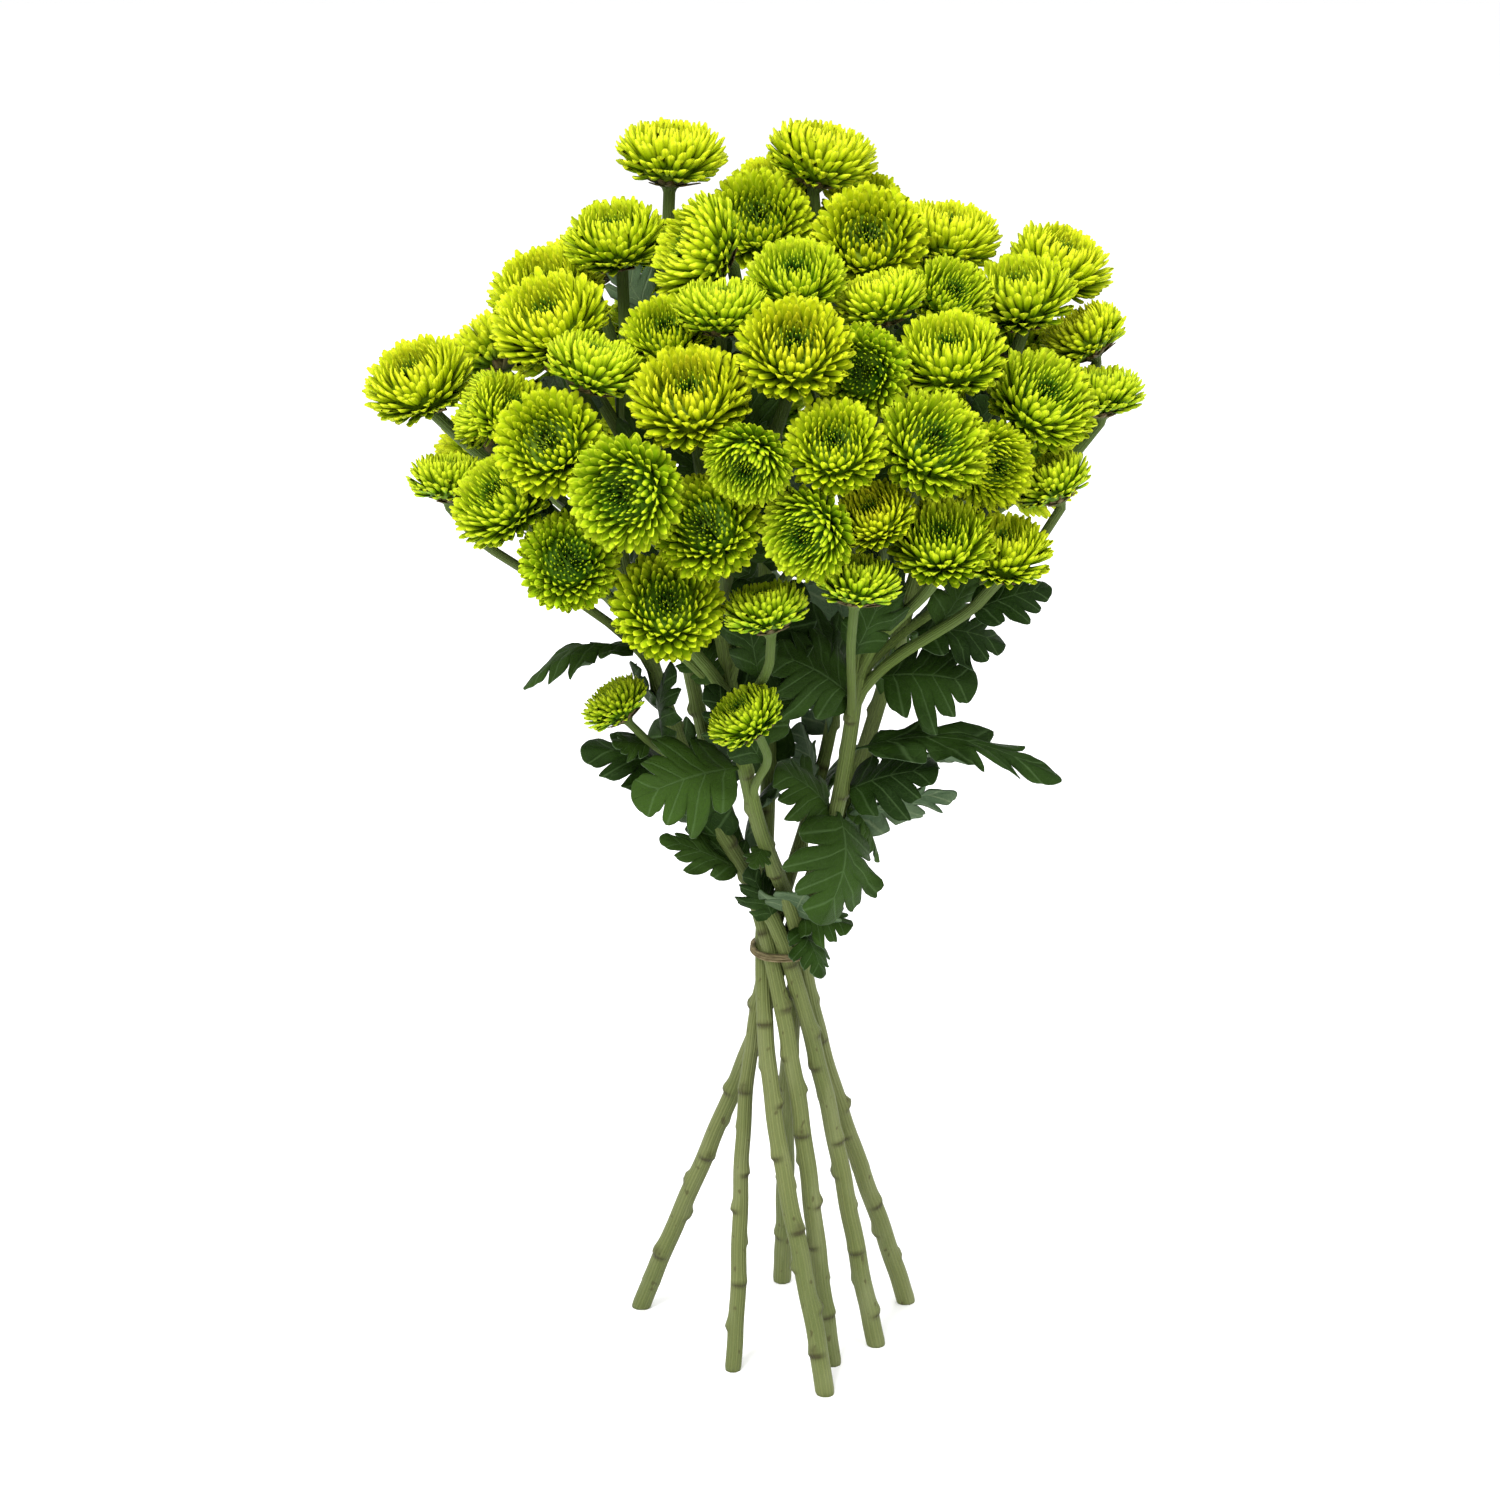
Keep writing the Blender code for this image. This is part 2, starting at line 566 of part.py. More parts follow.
def stalk_line(bloom, line, seat_gap):
    """The middle line of a flower stalk, from inside its stem to the underside of its bloom."""
    seat = bloom.centre + bloom.axis * (BLOOM_RINGS[0][1] * bloom.radius - seat_gap)
    top = line[-1]
    spread = Vector((seat.x - top.x, seat.y - top.y, 0.0)).length
    height = max(seat.z - FORK_SLOPE * spread - FORK_DROP, LOWEST_FORK)
    height = min(height, top.z - LAST_NODE_CLEAR)
    fork = line[nearest_place(line, height)]
    length = (seat - fork).length
    outward = (seat - fork).normalized()
    rise = Vector((0, 0, 1)).lerp(outward, FORK_OUTWARD).normalized()
    neck = min(NECK_SHARE * length, LONGEST_NECK)
    legs = (fork, fork + FORK_PULL * length * rise, seat - neck * bloom.axis, seat)
    return [curve_point(legs, place / STALK_STEPS) for place in range(STALK_STEPS + 1)]


def stalk_body(bloom, stalk, finish):
    """A flower stalk that flares into the green cup under its bloom."""
    points = [stalk[place] for place in STALK_RINGS]
    radii = [STALK_RADIUS] * len(points)
    seat = stalk[-1]
    points += [seat - CUP_DEPTH * bloom.radius * bloom.axis, seat]
    radii += [STALK_RADIUS * CUP_FOOT_SWELL, CUP_RADIUS * bloom.radius]
    return object_from(lambda shape: tube_mesh(shape, points, radii, STALK_SIDES), "stalk", finish)


def nearest_to_sight(line, across, down):
    """The point of a line that shows nearest to a pixel."""
    sight = sight_direction(across, down).normalized()
    return min(line, key=lambda point: (point - EYE).cross(sight).length)


def leaf_mesh(shape, base, tip, width, arch, roll):
    """A lobed blade on its short stalk, arched along its rib and folded a little across it."""
    along = tip - base
    length = along.length
    along.normalize()
    outward = Vector((base.x, base.y, 0.0)).normalized()
    side = along.cross(Vector((0, 0, 1)) + LEAF_FACES_OUT * outward).normalized()
    side = Matrix.Rotation(math.radians(roll), 3, along) @ side
    lift = side.cross(along).normalized()

    def blade_point(share, out):
        bulge = arch * length * math.sin(math.pi * share)
        droop = -LEAF_FOLD * abs(out)
        return base + along * (share * length) + side * out + lift * (bulge + droop)

    rib = [shape.verts.new(blade_point(share, 0.0)) for share in LEAF_RIB]
    for hand in (1, -1):
        edge = [
            shape.verts.new(blade_point(share, hand * max(out * width / 2, PETIOLE_HALF_WIDTH)))
            for share, out in LEAF_SIDE
        ]
        inner, outer = 0, 0
        while inner < len(rib) - 1 or outer < len(edge) - 1:
            next_rib = LEAF_RIB[inner + 1] if inner < len(rib) - 1 else math.inf
            next_edge = LEAF_SIDE[outer + 1][0] if outer < len(edge) - 1 else math.inf
            if next_edge <= next_rib:
                corners = (rib[inner], edge[outer], edge[outer + 1])
                outer += 1
            else:
                corners = (rib[inner], edge[outer], rib[inner + 1])
                inner += 1
            shape.faces.new(corners if hand > 0 else reversed(corners))
    bmesh.ops.recalc_face_normals(shape, faces=shape.faces)
    bmesh.ops.solidify(shape, geom=list(shape.faces), thickness=LEAF_THICKNESS)


def leaf_body(leaf, line, finish):
    """A leaf on the line of what carries it: a stem or a flower stalk."""
    if isinstance(leaf, SeenLeaf):
        base = nearest_to_sight(line, leaf.across, leaf.down)
        tip = seen_at(leaf.tip_across, leaf.tip_down, base.y - leaf.forward)
        arch, roll = leaf.arch, leaf.roll
    else:
        base = line[nearest_place(line, leaf.height)]
        tip = base + leaf.length * direction_at(math.radians(leaf.azimuth), math.radians(leaf.rise))
        arch, roll = BACK_LEAF_ARCH, 0.0
    return object_from(lambda shape: leaf_mesh(shape, base, tip, leaf.width, arch, roll), "leaf", finish)


def tie_mesh(shape):
    """A thin band round the waist, just clear of the seven stems."""
    inner = (WAIST_RING + STEM_RADIUS + SEAT_GAP) / math.cos(math.pi / TIE_SIDES)
    low, high = -TIE_HEIGHT / 2, TIE_HEIGHT / 2
    outer = inner + TIE_THICKNESS
    belly = outer + TIE_THICKNESS / 4
    profile = [(inner, low), (outer, low), (belly, 0.0), (outer, high), (inner, high)]
    corners = [shape.verts.new((out, 0.0, height)) for out, height in profile]
    edges = [shape.edges.new((corners[i], corners[(i + 1) % len(corners)])) for i in range(len(corners))]
    bmesh.ops.spin(
        shape, geom=corners + edges, axis=(0, 0, 1), cent=(0, 0, 0),
        angle=2 * math.pi, steps=TIE_SIDES, use_merge=True,
    )
    bmesh.ops.translate(shape, verts=shape.verts, vec=WAIST_CENTRE)


def centre_on_box(objects):
    """Moves the whole bunch sideways, so that the middle of its box is over the origin."""
    corners = np.array([corner.co for made in objects for corner in made.data.vertices])
    middle = (corners.min(axis=0) + corners.max(axis=0)) / 2
    for made in objects:
        made.data.transform(Matrix.Translation((-middle[0], -middle[1], 0.0)))


def fused(name, bodies):
    """Joins overlapping closed bodies into one object with a Boolean union."""
    first = bodies[0]
    group = bpy.data.collections.new(name + "_bodies")
    for body in bodies[1:]:
        bpy.context.scene.collection.objects.unlink(body)
        group.objects.link(body)
    union = first.modifiers.new("union", "BOOLEAN")
    union.operation = "UNION"
    union.operand_type = "COLLECTION"
    union.solver = "MANIFOLD"
    union.material_mode = "TRANSFER"
    union.collection = group
    bpy.context.view_layer.update()
    graph = bpy.context.evaluated_depsgraph_get()
    joined = bpy.data.meshes.new_from_object(first.evaluated_get(graph))
    first.modifiers.clear()
    first.data = joined
    for body in bodies[1:]:
        bpy.data.objects.remove(body)
    bpy.data.collections.remove(group)
    first.name = name
    return first


def main():
    clear_scene()
    stem_green = material("stem_green", (0.20, 0.30, 0.10), 0.55)
    bloom_green = material("bloom_green", (0.42, 0.55, 0.04), 0.60)
    tie_tan = material("tie_tan", (0.45, 0.36, 0.20), 0.85)
    back = back_blooms()
    blooms = settled(SEEN_BLOOMS, back)
    lines = {stem.name: stem_line(stem) for stem in STEMS}
    bodies = {stem.name: [stem_body(stem, lines[stem.name], stem_green)] for stem in STEMS}
    home = {stem.name: stem.name for stem in STEMS}
    for bloom in [*blooms, *back]:
        stem = stem_for(bloom)
        loose = bloom in blooms
        stalk = stalk_line(bloom, lines[stem.name], SEAT_GAP if loose else -SUNK_SEAT)
        bodies[stem.name].append(stalk_body(bloom, stalk, stem_green))
        lines[bloom.name] = stalk
        home[bloom.name] = stem.name
        flower = object_from(lambda shape, bloom=bloom: bloom_mesh(shape, bloom), bloom.name, bloom_green)
        if not loose:
            bodies[stem.name].append(flower)
    for leaf in [*SEEN_LEAVES, *BACK_LEAVES]:
        bodies[home[leaf.carrier]].append(leaf_body(leaf, lines[leaf.carrier], stem_green))
    for name, parts in bodies.items():
        fused(name, parts)
    object_from(tie_mesh, "tie", tie_tan)
    centre_on_box([made for made in bpy.data.objects if made.type == "MESH"])


main()
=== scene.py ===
# %% [markdown]
# # A hand-tied bunch of green pompon chrysanthemums
#
# A pompon chrysanthemum is a crowd of small rolled petals, called florets, that stand in
# spirals on a little green cup. Seven cut sprays of them are crossed at a tie. The solid
# model gives each bloom, stem and leaf its place. This lesson dresses them: florets in
# their hundreds, lobed leaves with veins, ridged stems with leaf nodes and a raffia tie.

# %% Load the solid model as the frame
import math
import random

import bmesh
import bpy
import numpy as np
from mathutils import Matrix, Vector, noise


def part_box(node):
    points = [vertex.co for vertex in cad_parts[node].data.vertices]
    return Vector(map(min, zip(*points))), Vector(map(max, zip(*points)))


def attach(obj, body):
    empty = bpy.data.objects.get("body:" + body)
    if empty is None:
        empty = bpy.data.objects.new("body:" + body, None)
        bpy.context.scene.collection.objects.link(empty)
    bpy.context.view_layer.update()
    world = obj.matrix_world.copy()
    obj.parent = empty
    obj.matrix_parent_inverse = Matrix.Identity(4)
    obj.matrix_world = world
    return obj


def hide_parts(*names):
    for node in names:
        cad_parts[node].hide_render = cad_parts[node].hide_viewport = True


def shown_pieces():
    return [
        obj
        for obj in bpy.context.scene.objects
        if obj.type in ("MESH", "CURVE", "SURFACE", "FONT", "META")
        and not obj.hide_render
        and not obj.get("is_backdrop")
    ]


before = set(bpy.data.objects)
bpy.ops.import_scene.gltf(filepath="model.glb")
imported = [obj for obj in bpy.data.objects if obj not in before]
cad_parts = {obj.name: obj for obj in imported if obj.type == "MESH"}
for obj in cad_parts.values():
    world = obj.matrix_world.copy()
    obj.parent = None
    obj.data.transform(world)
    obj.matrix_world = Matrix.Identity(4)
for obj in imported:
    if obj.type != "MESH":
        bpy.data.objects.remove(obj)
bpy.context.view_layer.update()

random.seed(11)

# %% [markdown]
# ## The camera's place
#
# The photograph looks at the bunch from a little above, and the solid model was laid out
# along its lines of sight. The same measures are used again here, so that each leaf's tip
# falls on the same pixel. The solid model was then moved sideways to centre its box, and
# the tie, whose own centre is known, tells by how much.

# %% Measures of the view and of the bunch
FRAME = 1500
PIXEL = 0.00025
VIEW_ELEVATION = math.radians(20.0)
VIEW_DISTANCE = 1.6
VIEW_TARGET = Vector((-0.0096, 0.0, 0.2654))
RIGHT = Vector((1.0, 0.0, 0.0))
UP = Vector((0.0, math.sin(VIEW_ELEVATION), math.cos(VIEW_ELEVATION)))
FORWARD = Vector((0.0, math.cos(VIEW_ELEVATION), -math.sin(VIEW_ELEVATION)))
EYE = VIEW_TARGET - VIEW_DISTANCE * FORWARD

WAIST_HEIGHT = 0.180
WAIST_CENTRE = Vector((0.004, 0.0, WAIST_HEIGHT))

tie_low, tie_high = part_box("tie")
SHIFT = (tie_low + tie_high) / 2 - WAIST_CENTRE
print("moved sideways by", [round(1000 * part, 2) for part in SHIFT], "mm")

# %% [markdown]
# ## A shorthand for shader maths
#
# Finishes are worked out with small sums of masks and noises. Wiring each sum by hand hides
# the idea, so a wire here can be added and multiplied like a number, and each sum puts its
# own Math node into the material.

# %% Wires
class Wire:
    """One output of a shader node, which can be used in sums."""

    def __init__(self, finish, socket):
        self.finish = finish
        self.socket = socket

    def __add__(self, other):
        return self.finish.math("ADD", self, other)

    __radd__ = __add__

    def __sub__(self, other):
        return self.finish.math("SUBTRACT", self, other)

    def __rsub__(self, other):
        return self.finish.math("SUBTRACT", other, self)

    def __mul__(self, other):
        return self.finish.math("MULTIPLY", self, other)

    __rmul__ = __mul__

    def between(self, low, high):
        """0 below low, 1 above high, and smooth between them."""
        settings = {"interpolation_type": "SMOOTHSTEP"}
        values = {"Value": self, "From Min": low, "From Max": high}
        return self.finish.node("ShaderNodeMapRange", settings, values)


print("wires ready")

# %% [markdown]
# ## A finish
#
# A finish is a material on Blender's Principled shader. What is the same all over a piece,
# such as its gloss, is a plain number on the shader's own socket, and only what changes over
# the surface is wired in. The nodes could be added by hand, each kind in its own way. One
# method adds any kind here, because a material is then a few lines that read like a recipe.

# %% Finishes
class Finish:
    """A material on the Principled shader, with the constants on the shader's own sockets."""

    def __init__(self, name, **constants):
        self.material = bpy.data.materials.new(name)
        self.material.use_nodes = True
        self.tree = self.material.node_tree
        self.shader = self.tree.nodes["Principled BSDF"]
        for socket, value in constants.items():
            self.shader.inputs[socket.replace("_", " ")].default_value = value

    def node(self, kind, settings, values, output=0):
        """Adds a node: its settings first, then a number or a wire on each named socket."""
        made = self.tree.nodes.new(kind)
        for name, value in settings.items():
            setattr(made, name, value)
        for key, value in values.items():
            if isinstance(value, Wire):
                self.tree.links.new(value.socket, made.inputs[key])
            else:
                made.inputs[key].default_value = value
        return Wire(self, made.outputs[output])

    def math(self, operation, *values):
        """A Math node on numbers or wires."""
        return self.node("ShaderNodeMath", {"operation": operation}, dict(enumerate(values)))

    def mix(self, share, first, second):
        """One colour turning into another as share goes from 0 to 1."""
        first, second = [
            (*value, 1.0) if isinstance(value, tuple) else value for value in (first, second)
        ]
        return self.node("ShaderNodeMix", {"data_type": "RGBA"}, {0: share, 6: first, 7: second}, 2)

    def painted(self, name):
        """The three numbers that a mesh carries at each corner under a name."""
        colour = self.node("ShaderNodeAttribute", {"attribute_name": name}, {})
        return [self.node("ShaderNodeSeparateColor", {}, {0: colour}, part) for part in range(3)]

    def number(self, name):
        """The one number that a mesh carries at each corner under a name."""
        return self.node("ShaderNodeAttribute", {"attribute_name": name}, {}, 2)

    def place(self, stretch=(1.0, 1.0, 1.0)):
        """Where a point lies on the object, in metres, stretched along the axes."""
        point = self.node("ShaderNodeTexCoord", {}, {}, 3)
        return self.node("ShaderNodeMapping", {}, {"Vector": point, "Scale": stretch})

    def noise(self, vector, scale, detail=2.0):
        """A cloudy pattern around one half."""
        values = {"Vector": vector, "Scale": scale, "Detail": detail}
        return self.node("ShaderNodeTexNoise", {}, values)

    def joined(self, *parts):
        """Three numbers as one vector."""
        return self.node("ShaderNodeCombineXYZ", {}, dict(enumerate(parts)))

    def feed(self, socket, wire):
        """Wires something that changes over the surface to the shader."""
        self.tree.links.new(wire.socket, self.shader.inputs[socket])

    def relief(self, height, distance, strength):
        """Small bumps, as deep as the distance where the height is one."""
        values = {"Height": height, "Distance": distance, "Strength": strength}
        self.feed("Normal", self.node("ShaderNodeBump", {}, values))


print("finishes ready")

# %% [markdown]
# ## Finish of the florets
#
# A green pompon's florets are yellow-lime at the tip and leaf green lower down. Where they
# meet they are almost dark green, partly their own colour and partly painted shade, and the
# young ones in the middle are the greenest. Each floret carries three numbers: how far along
# it a point is, how far out in the bloom it grows, and a number of its own. A fourth marks its
# edges, which get a painted highlight, a paler rim where the light catches them. A painted
# picture could hold these colours too, but numbers on the corners stay sharp at any distance.
# The bunch has yellower, fresher and deeper blooms, so one recipe takes the colours and gives
# a family.

# %% The floret recipe
# a painted highlight: the paler rim where light catches a floret's edges
EDGE_HIGHLIGHT = (0.66, 0.75, 0.050)
# the lowest florets: greener in their own colour, and darker as painted shade on the bloom's underside
LOWER_GREEN_AND_SHADE = (0.210, 0.420, 0.003)
# nearly black: painted shade deep among the young florets of the heart
HEART_FOOT_SHADE = (0.007, 0.028, 0.001)
HEART_MIDDLE = (0.030, 0.110, 0.002)
GOLD = (0.80, 0.69, 0.020)


def floret_finish(name, tip, middle, foot, young, gold):
    """Colours of a floret's tip, middle and foot, of the young florets, and how golden they blush; the
    dark foot is partly painted shade.
    """
    made = Finish(name, Roughness=0.55, Specular_IOR_Level=0.11)
    along, out, own = made.painted("floret")
    edge = made.number("floret_edge")
    blotch = made.noise(made.place(), 90.0, 3.0)
    streak = made.noise(made.joined(own * 40.0, along * 3.0, out * 30.0), 2.2, 3.0)
    body = made.mix(out.between(0.30, 0.56), young, middle)
    # the lowest florets turn greener and darker: partly their own colour, partly painted shade
    # underneath
    body = made.mix(out.between(0.70, 1.0) * 0.65, body, LOWER_GREEN_AND_SHADE)
    # the dark foot colour is partly the florets' own and partly painted shade where they meet
    body = made.mix(along.between(0.25, 0.68), foot, body)
    body = made.mix(along.between(0.62, 0.98) * (0.60 + 0.4 * own), body, tip)
    heart = made.mix(along.between(0.55, 0.90), HEART_FOOT_SHADE, HEART_MIDDLE)
    heart = made.mix(along.between(0.90, 1.0) * (0.50 + 0.50 * own), heart, tip)
    colour = made.mix(out.between(0.14, 0.30), heart, body)
    blush = out.between(0.18, 0.30) * (1.0 - out.between(0.42, 0.62)) * along.between(0.50, 0.95)
    colour = made.mix(blush * gold * (0.3 + 0.7 * own), colour, GOLD)
    colour = made.mix(blotch.between(0.50, 0.80) * 0.25, colour, tip)
    colour = made.mix(streak.between(0.55, 0.85) * 0.25, colour, middle)
    # painted highlight along each floret's edges
    colour = made.mix(edge.between(0.50, 1.0) * along.between(0.45, 0.90) * 0.40, colour, EDGE_HIGHLIGHT)
    made.feed("Base Color", colour)
    made.relief(streak + 0.5 * blotch, 0.0002, 0.35)
    return made.material


print("floret recipe ready")

# %% The floret finishes
# the colour of the tips, the middles, the feet (partly painted shade) and the young florets, and how
# golden they blush
LIME = (
    (0.61, 0.69, 0.011), (0.40, 0.545, 0.004), (0.052, 0.130, 0.001), (0.34, 0.50, 0.004), 0.15
)
YELLOW = (
    (0.65, 0.70, 0.011), (0.46, 0.56, 0.004), (0.060, 0.130, 0.001), (0.46, 0.54, 0.005), 0.50
)
DEEP = (
    (0.53, 0.64, 0.013), (0.31, 0.49, 0.004), (0.034, 0.112, 0.001), (0.07, 0.23, 0.003), 0.0
)
FRESH = (
    (0.57, 0.66, 0.013), (0.36, 0.52, 0.004), (0.042, 0.122, 0.001), (0.18, 0.37, 0.003), 0.05
)
OLIVE = (
    (0.65, 0.71, 0.011), (0.46, 0.575, 0.004), (0.062, 0.135, 0.001), (0.42, 0.53, 0.004), 0.25
)
FLORET_FINISHES = {
    "lime": floret_finish("lime_florets", *LIME),
    "yellow": floret_finish("yellow_florets", *YELLOW),
    "deep": floret_finish("deep_green_florets", *DEEP),
    "fresh": floret_finish("fresh_green_florets", *FRESH),
    "olive": floret_finish("olive_florets", *OLIVE),
}
print(len(FLORET_FINISHES), "floret finishes")

# %% [markdown]
# ## From rings to a skin
#
# Florets, stems and stalks are long closed forms. They could be drawn face by face, or swept
# along a curve object. Here a ring of corners is made at each station and neighbouring rings
# are bridged, because each ring can then have a size, a tilt and a colour of its own.

# %% Rings bridged to a skin
def linked(corners, kind):
    """The edges or faces at some corners, each once and always in the same order."""
    return list(dict.fromkeys(part for corner in corners for part in getattr(corner, kind)))


def bridge_rings(shape, rings):
    """Joins separate rings one after another, and closes the first and the last."""
    loops = [linked(ring, "link_edges") for ring in rings]
    for lower, upper in zip(loops, loops[1:]):
        bmesh.ops.bridge_loops(shape, edges=lower + upper)
    ends = [bmesh.ops.contextual_create(shape, geom=end)["faces"] for end in (rings[0], rings[-1])]
    return ends[0] + ends[1]


def mesh_from(shape, name):
    """A finished bmesh as a mesh."""
    mesh = bpy.data.meshes.new(name)
    shape.to_mesh(mesh)
    shape.free()
    return mesh


def copy_into(shape, ready):
    """Adds a copy of a ready mesh to a bmesh, and returns its corners."""
    known = len(shape.verts)
    shape.from_mesh(ready)
    shape.verts.ensure_lookup_table()
    return shape.verts[known:]


print("ring tools ready")

# %% [markdown]
# ## One floret
#
# A floret is a little boat: narrow at its foot, widest above the middle, with a blunt point.
# Its keeled back faces outwards and its hollow faces the heart of the bloom. A ring of four
# corners is made once for each station along it and the rings are bridged. A flat petal with
# a thickness would do as well, but this one has a keel and no thin rim to catch the light.
# Florets are repeated by the thousand, so each has only fourteen faces.

# %% A floret from bridged rings
BOAT = ((1.00, 0.30), (0.0, -0.52), (-1.00, 0.30), (0.0, 0.02))
NEEDLE = ((0.58, 0.00), (0.0, -0.50), (-0.58, 0.0), (0.0, 0.45))
BLADE_STATIONS = ((0.0, 0.45), (0.52, 0.88), (0.86, 0.94), (1.0, 0.36))
RIDGE_STATIONS = ((0.0, 0.45), (0.48, 1.0), (0.83, 0.80), (1.0, 0.30))
NEEDLE_STATIONS = ((0.0, 0.60), (0.80, 1.0), (1.0, 0.36))


def curve_point(points, share):
    """A point of the quadratic curve with three control points."""
    rest = 1 - share
    return rest * rest * points[0] + 2 * rest * share * points[1] + share * share * points[2]


def curve_ahead(points, share):
    """The direction in which that curve runs."""
    ahead = (1 - share) * (points[1] - points[0]) + share * (points[2] - points[1])
    return ahead.normalized()


def floret_mesh(curve, half_width, section, stations, out):
    """A closed floret in the plane y = 0, along a curve that starts on the receptacle."""
    shape = bmesh.new()
    paint = shape.verts.layers.float_color.new("floret")
    edge = shape.verts.layers.float.new("floret_edge")
    side = Vector((0.0, 1.0, 0.0))
    rings = []
    for share, fullness in stations:
        ahead = curve_ahead(curve, share)
        inward = ahead.cross(side)
        turn = Matrix((side, inward, ahead)).transposed().to_4x4()
        place = Matrix.Translation(curve_point(curve, share)) @ turn
        ring = bmesh.ops.create_circle(shape, segments=len(section), radius=1.0, matrix=place)["verts"]
        width = half_width * fullness
        for corner, (across, deep) in zip(ring, section):
            corner.co = place @ Vector((across * width, deep * width, 0.0))
            corner[paint] = (share, out, 0.5, 1.0)
            corner[edge] = abs(across)
        rings.append(ring)
    bridge_rings(shape, rings)
    bmesh.ops.recalc_face_normals(shape, faces=shape.faces)
    return mesh_from(shape, "floret")


print("floret of", 2 * len(BOAT) * (len(BLADE_STATIONS) - 1) + 4, "triangles")

# %% [markdown]
# ## The order of the florets
#
# Seed heads and pompons fill their surface in the same way: each new floret stands a golden
# angle round from the last. A table gives the bloom's half section from its heart to its
# lowest florets, in shares of its radius: where the tips stand, where the feet grow on the
# receptacle, how far apart neighbours are, and the bulge of the floret's line. The young
# florets bulge outwards and close over the heart, and the old ones arch over and spread.
# Florets are counted off along the table until each has the room that it gives. Rings of
# equal florets would be simpler, but the eye sees the rows at once.

# %% Where florets stand
# share of the way from heart to edge: tip out, tip up, foot out, foot up, spacing, bulge
FORM = np.array([
    (0.00, 0.02, 0.33, 0.01, -0.08, 0.084, 0.00),
    (0.10, 0.11, 0.35, 0.04, -0.10, 0.088, 0.02),
    (0.18, 0.19, 0.41, 0.08, -0.12, 0.092, 0.10),
    (0.28, 0.27, 0.47, 0.18, -0.16, 0.104, 0.22),
    (0.40, 0.39, 0.51, 0.28, -0.20, 0.126, 0.24),
    (0.50, 0.54, 0.50, 0.33, -0.22, 0.148, 0.19),
    (0.59, 0.69, 0.45, 0.35, -0.24, 0.164, 0.13),
    (0.68, 0.82, 0.37, 0.36, -0.26, 0.176, 0.09),
    (0.77, 0.93, 0.24, 0.37, -0.28, 0.186, 0.06),
    (0.85, 1.00, 0.07, 0.38, -0.31, 0.194, 0.05),
    (0.93, 0.97, -0.12, 0.38, -0.34, 0.200, 0.06),
    (1.00, 0.84, -0.31, 0.37, -0.38, 0.206, 0.08),
])
# where young florets differ most and how wide that band is, and by how much they are
# straighter, further out and lower
YOUNG_AT, YOUNG_BAND = 0.32, 0.14
YOUNG_STRAIGHTER, YOUNG_WIDER, YOUNG_LOWER = 0.75, 0.06, 0.05


def hump(distance, width):
    """1 in the middle, falling smoothly to 0 on both sides."""
    return math.exp(-((distance / width) ** 2))


def form_at(share, young):
    """The row of the table at a share; a young heart is wide and stands open."""
    tip_out, tip_up, foot_out, foot_up, spacing, bulge = [
        float(np.interp(share, FORM[:, 0], FORM[:, column])) for column in range(1, 7)
    ]
    heart = young * hump(share - YOUNG_AT, YOUNG_BAND)
    bulge *= 1 - YOUNG_STRAIGHTER * heart
    return (
        tip_out + YOUNG_WIDER * heart, tip_up - YOUNG_LOWER * heart, foot_out, foot_up, spacing, bulge
    )


print("half section of", len(FORM), "rows")

# %% Florets counted off
GOLDEN_ANGLE = math.pi * (3.0 - math.sqrt(5.0))
COUNTING_STEPS = 400
PACKING = 0.92


def floret_order(young):
    """The share of each floret in turn, from the heart outwards."""
    counted, shares = 0.0, []
    last = form_at(0.0, young)
    for step in range(1, COUNTING_STEPS + 1):
        now = form_at(step / COUNTING_STEPS, young)
        arc = math.hypot(now[0] - last[0], now[1] - last[1])
        counted += 2 * math.pi * now[0] * arc / (PACKING * now[4] ** 2)
        while counted > len(shares) + 0.5:
            shares.append(step / COUNTING_STEPS)
        last = now
    return shares


print("florets in a bloom:", len(floret_order(0.0)))

# %% [markdown]
# ## The dome under the florets
#
# The feet of the florets are packed tight on a green receptacle that is hardly ever seen.
# Single feet need not be shown down there, so a closed dome stands for them: half a section,
# spun round the bloom's axis. It takes the florets' dark foot colour, painted shade for a place
# deep between petals.

# %% The dome
CORE = (
    (0.0, 0.08), (0.18, 0.10), (0.36, 0.16), (0.50, 0.08),
    (0.60, -0.08), (0.58, -0.26), (0.47, -0.40), (0.0, -0.41),
)
CORE_STEPS = 20
# picks the florets' dark foot colour: painted shade deep between the petals
CORE_PAINTED_SHADE = (0.10, 0.60, 0.5, 1.0)


def spin_round(shape, corners, edges, steps):
    """Spins a section once round the z axis."""
    bmesh.ops.spin(
        shape, geom=corners + edges, axis=(0, 0, 1), cent=(0, 0, 0),
        angle=2 * math.pi, steps=steps, use_merge=True,
    )


def core_into(shape, paint):
    """A closed dome deep between the florets, turned round the bloom's axis."""
    corners = [shape.verts.new((out, 0.0, up)) for out, up in CORE]
    edges = [shape.edges.new(pair) for pair in zip(corners, corners[1:])]
    spin_round(shape, corners, edges, CORE_STEPS)
    bmesh.ops.remove_doubles(shape, verts=shape.verts, dist=1e-5)
    bmesh.ops.recalc_face_normals(shape, faces=shape.faces)
    for corner in shape.verts:
        corner[paint] = CORE_PAINTED_SHADE


print("dome of", len(CORE) - 1, "bands")

# %% [markdown]
# ## A few whole blooms
#
# No two blooms of the bunch are alike, but a handful of patterns, each turned and coloured
# for its place, is enough for the eye. A pattern is the dome with its florets, copied from a
# row of ready shapes. Each could be drawn alone, but a copy that is turned, tilted and
# stretched a little differently looks as natural and takes far less work.

# %% Bloom patterns
PATTERNS = 4
SHAPES_ALONG = 26
NEEDLES_TO = (0.20, 0.40)
RIDGES_TO = 0.54
FLORET_WIDTH = 0.42
BULGE_AT = 0.58
TILT_SPREAD, LEAN_SPREAD, TURN_SPREAD = 0.05, 0.06, 0.03
SHORTEST, LONGEST = 0.94, 1.03


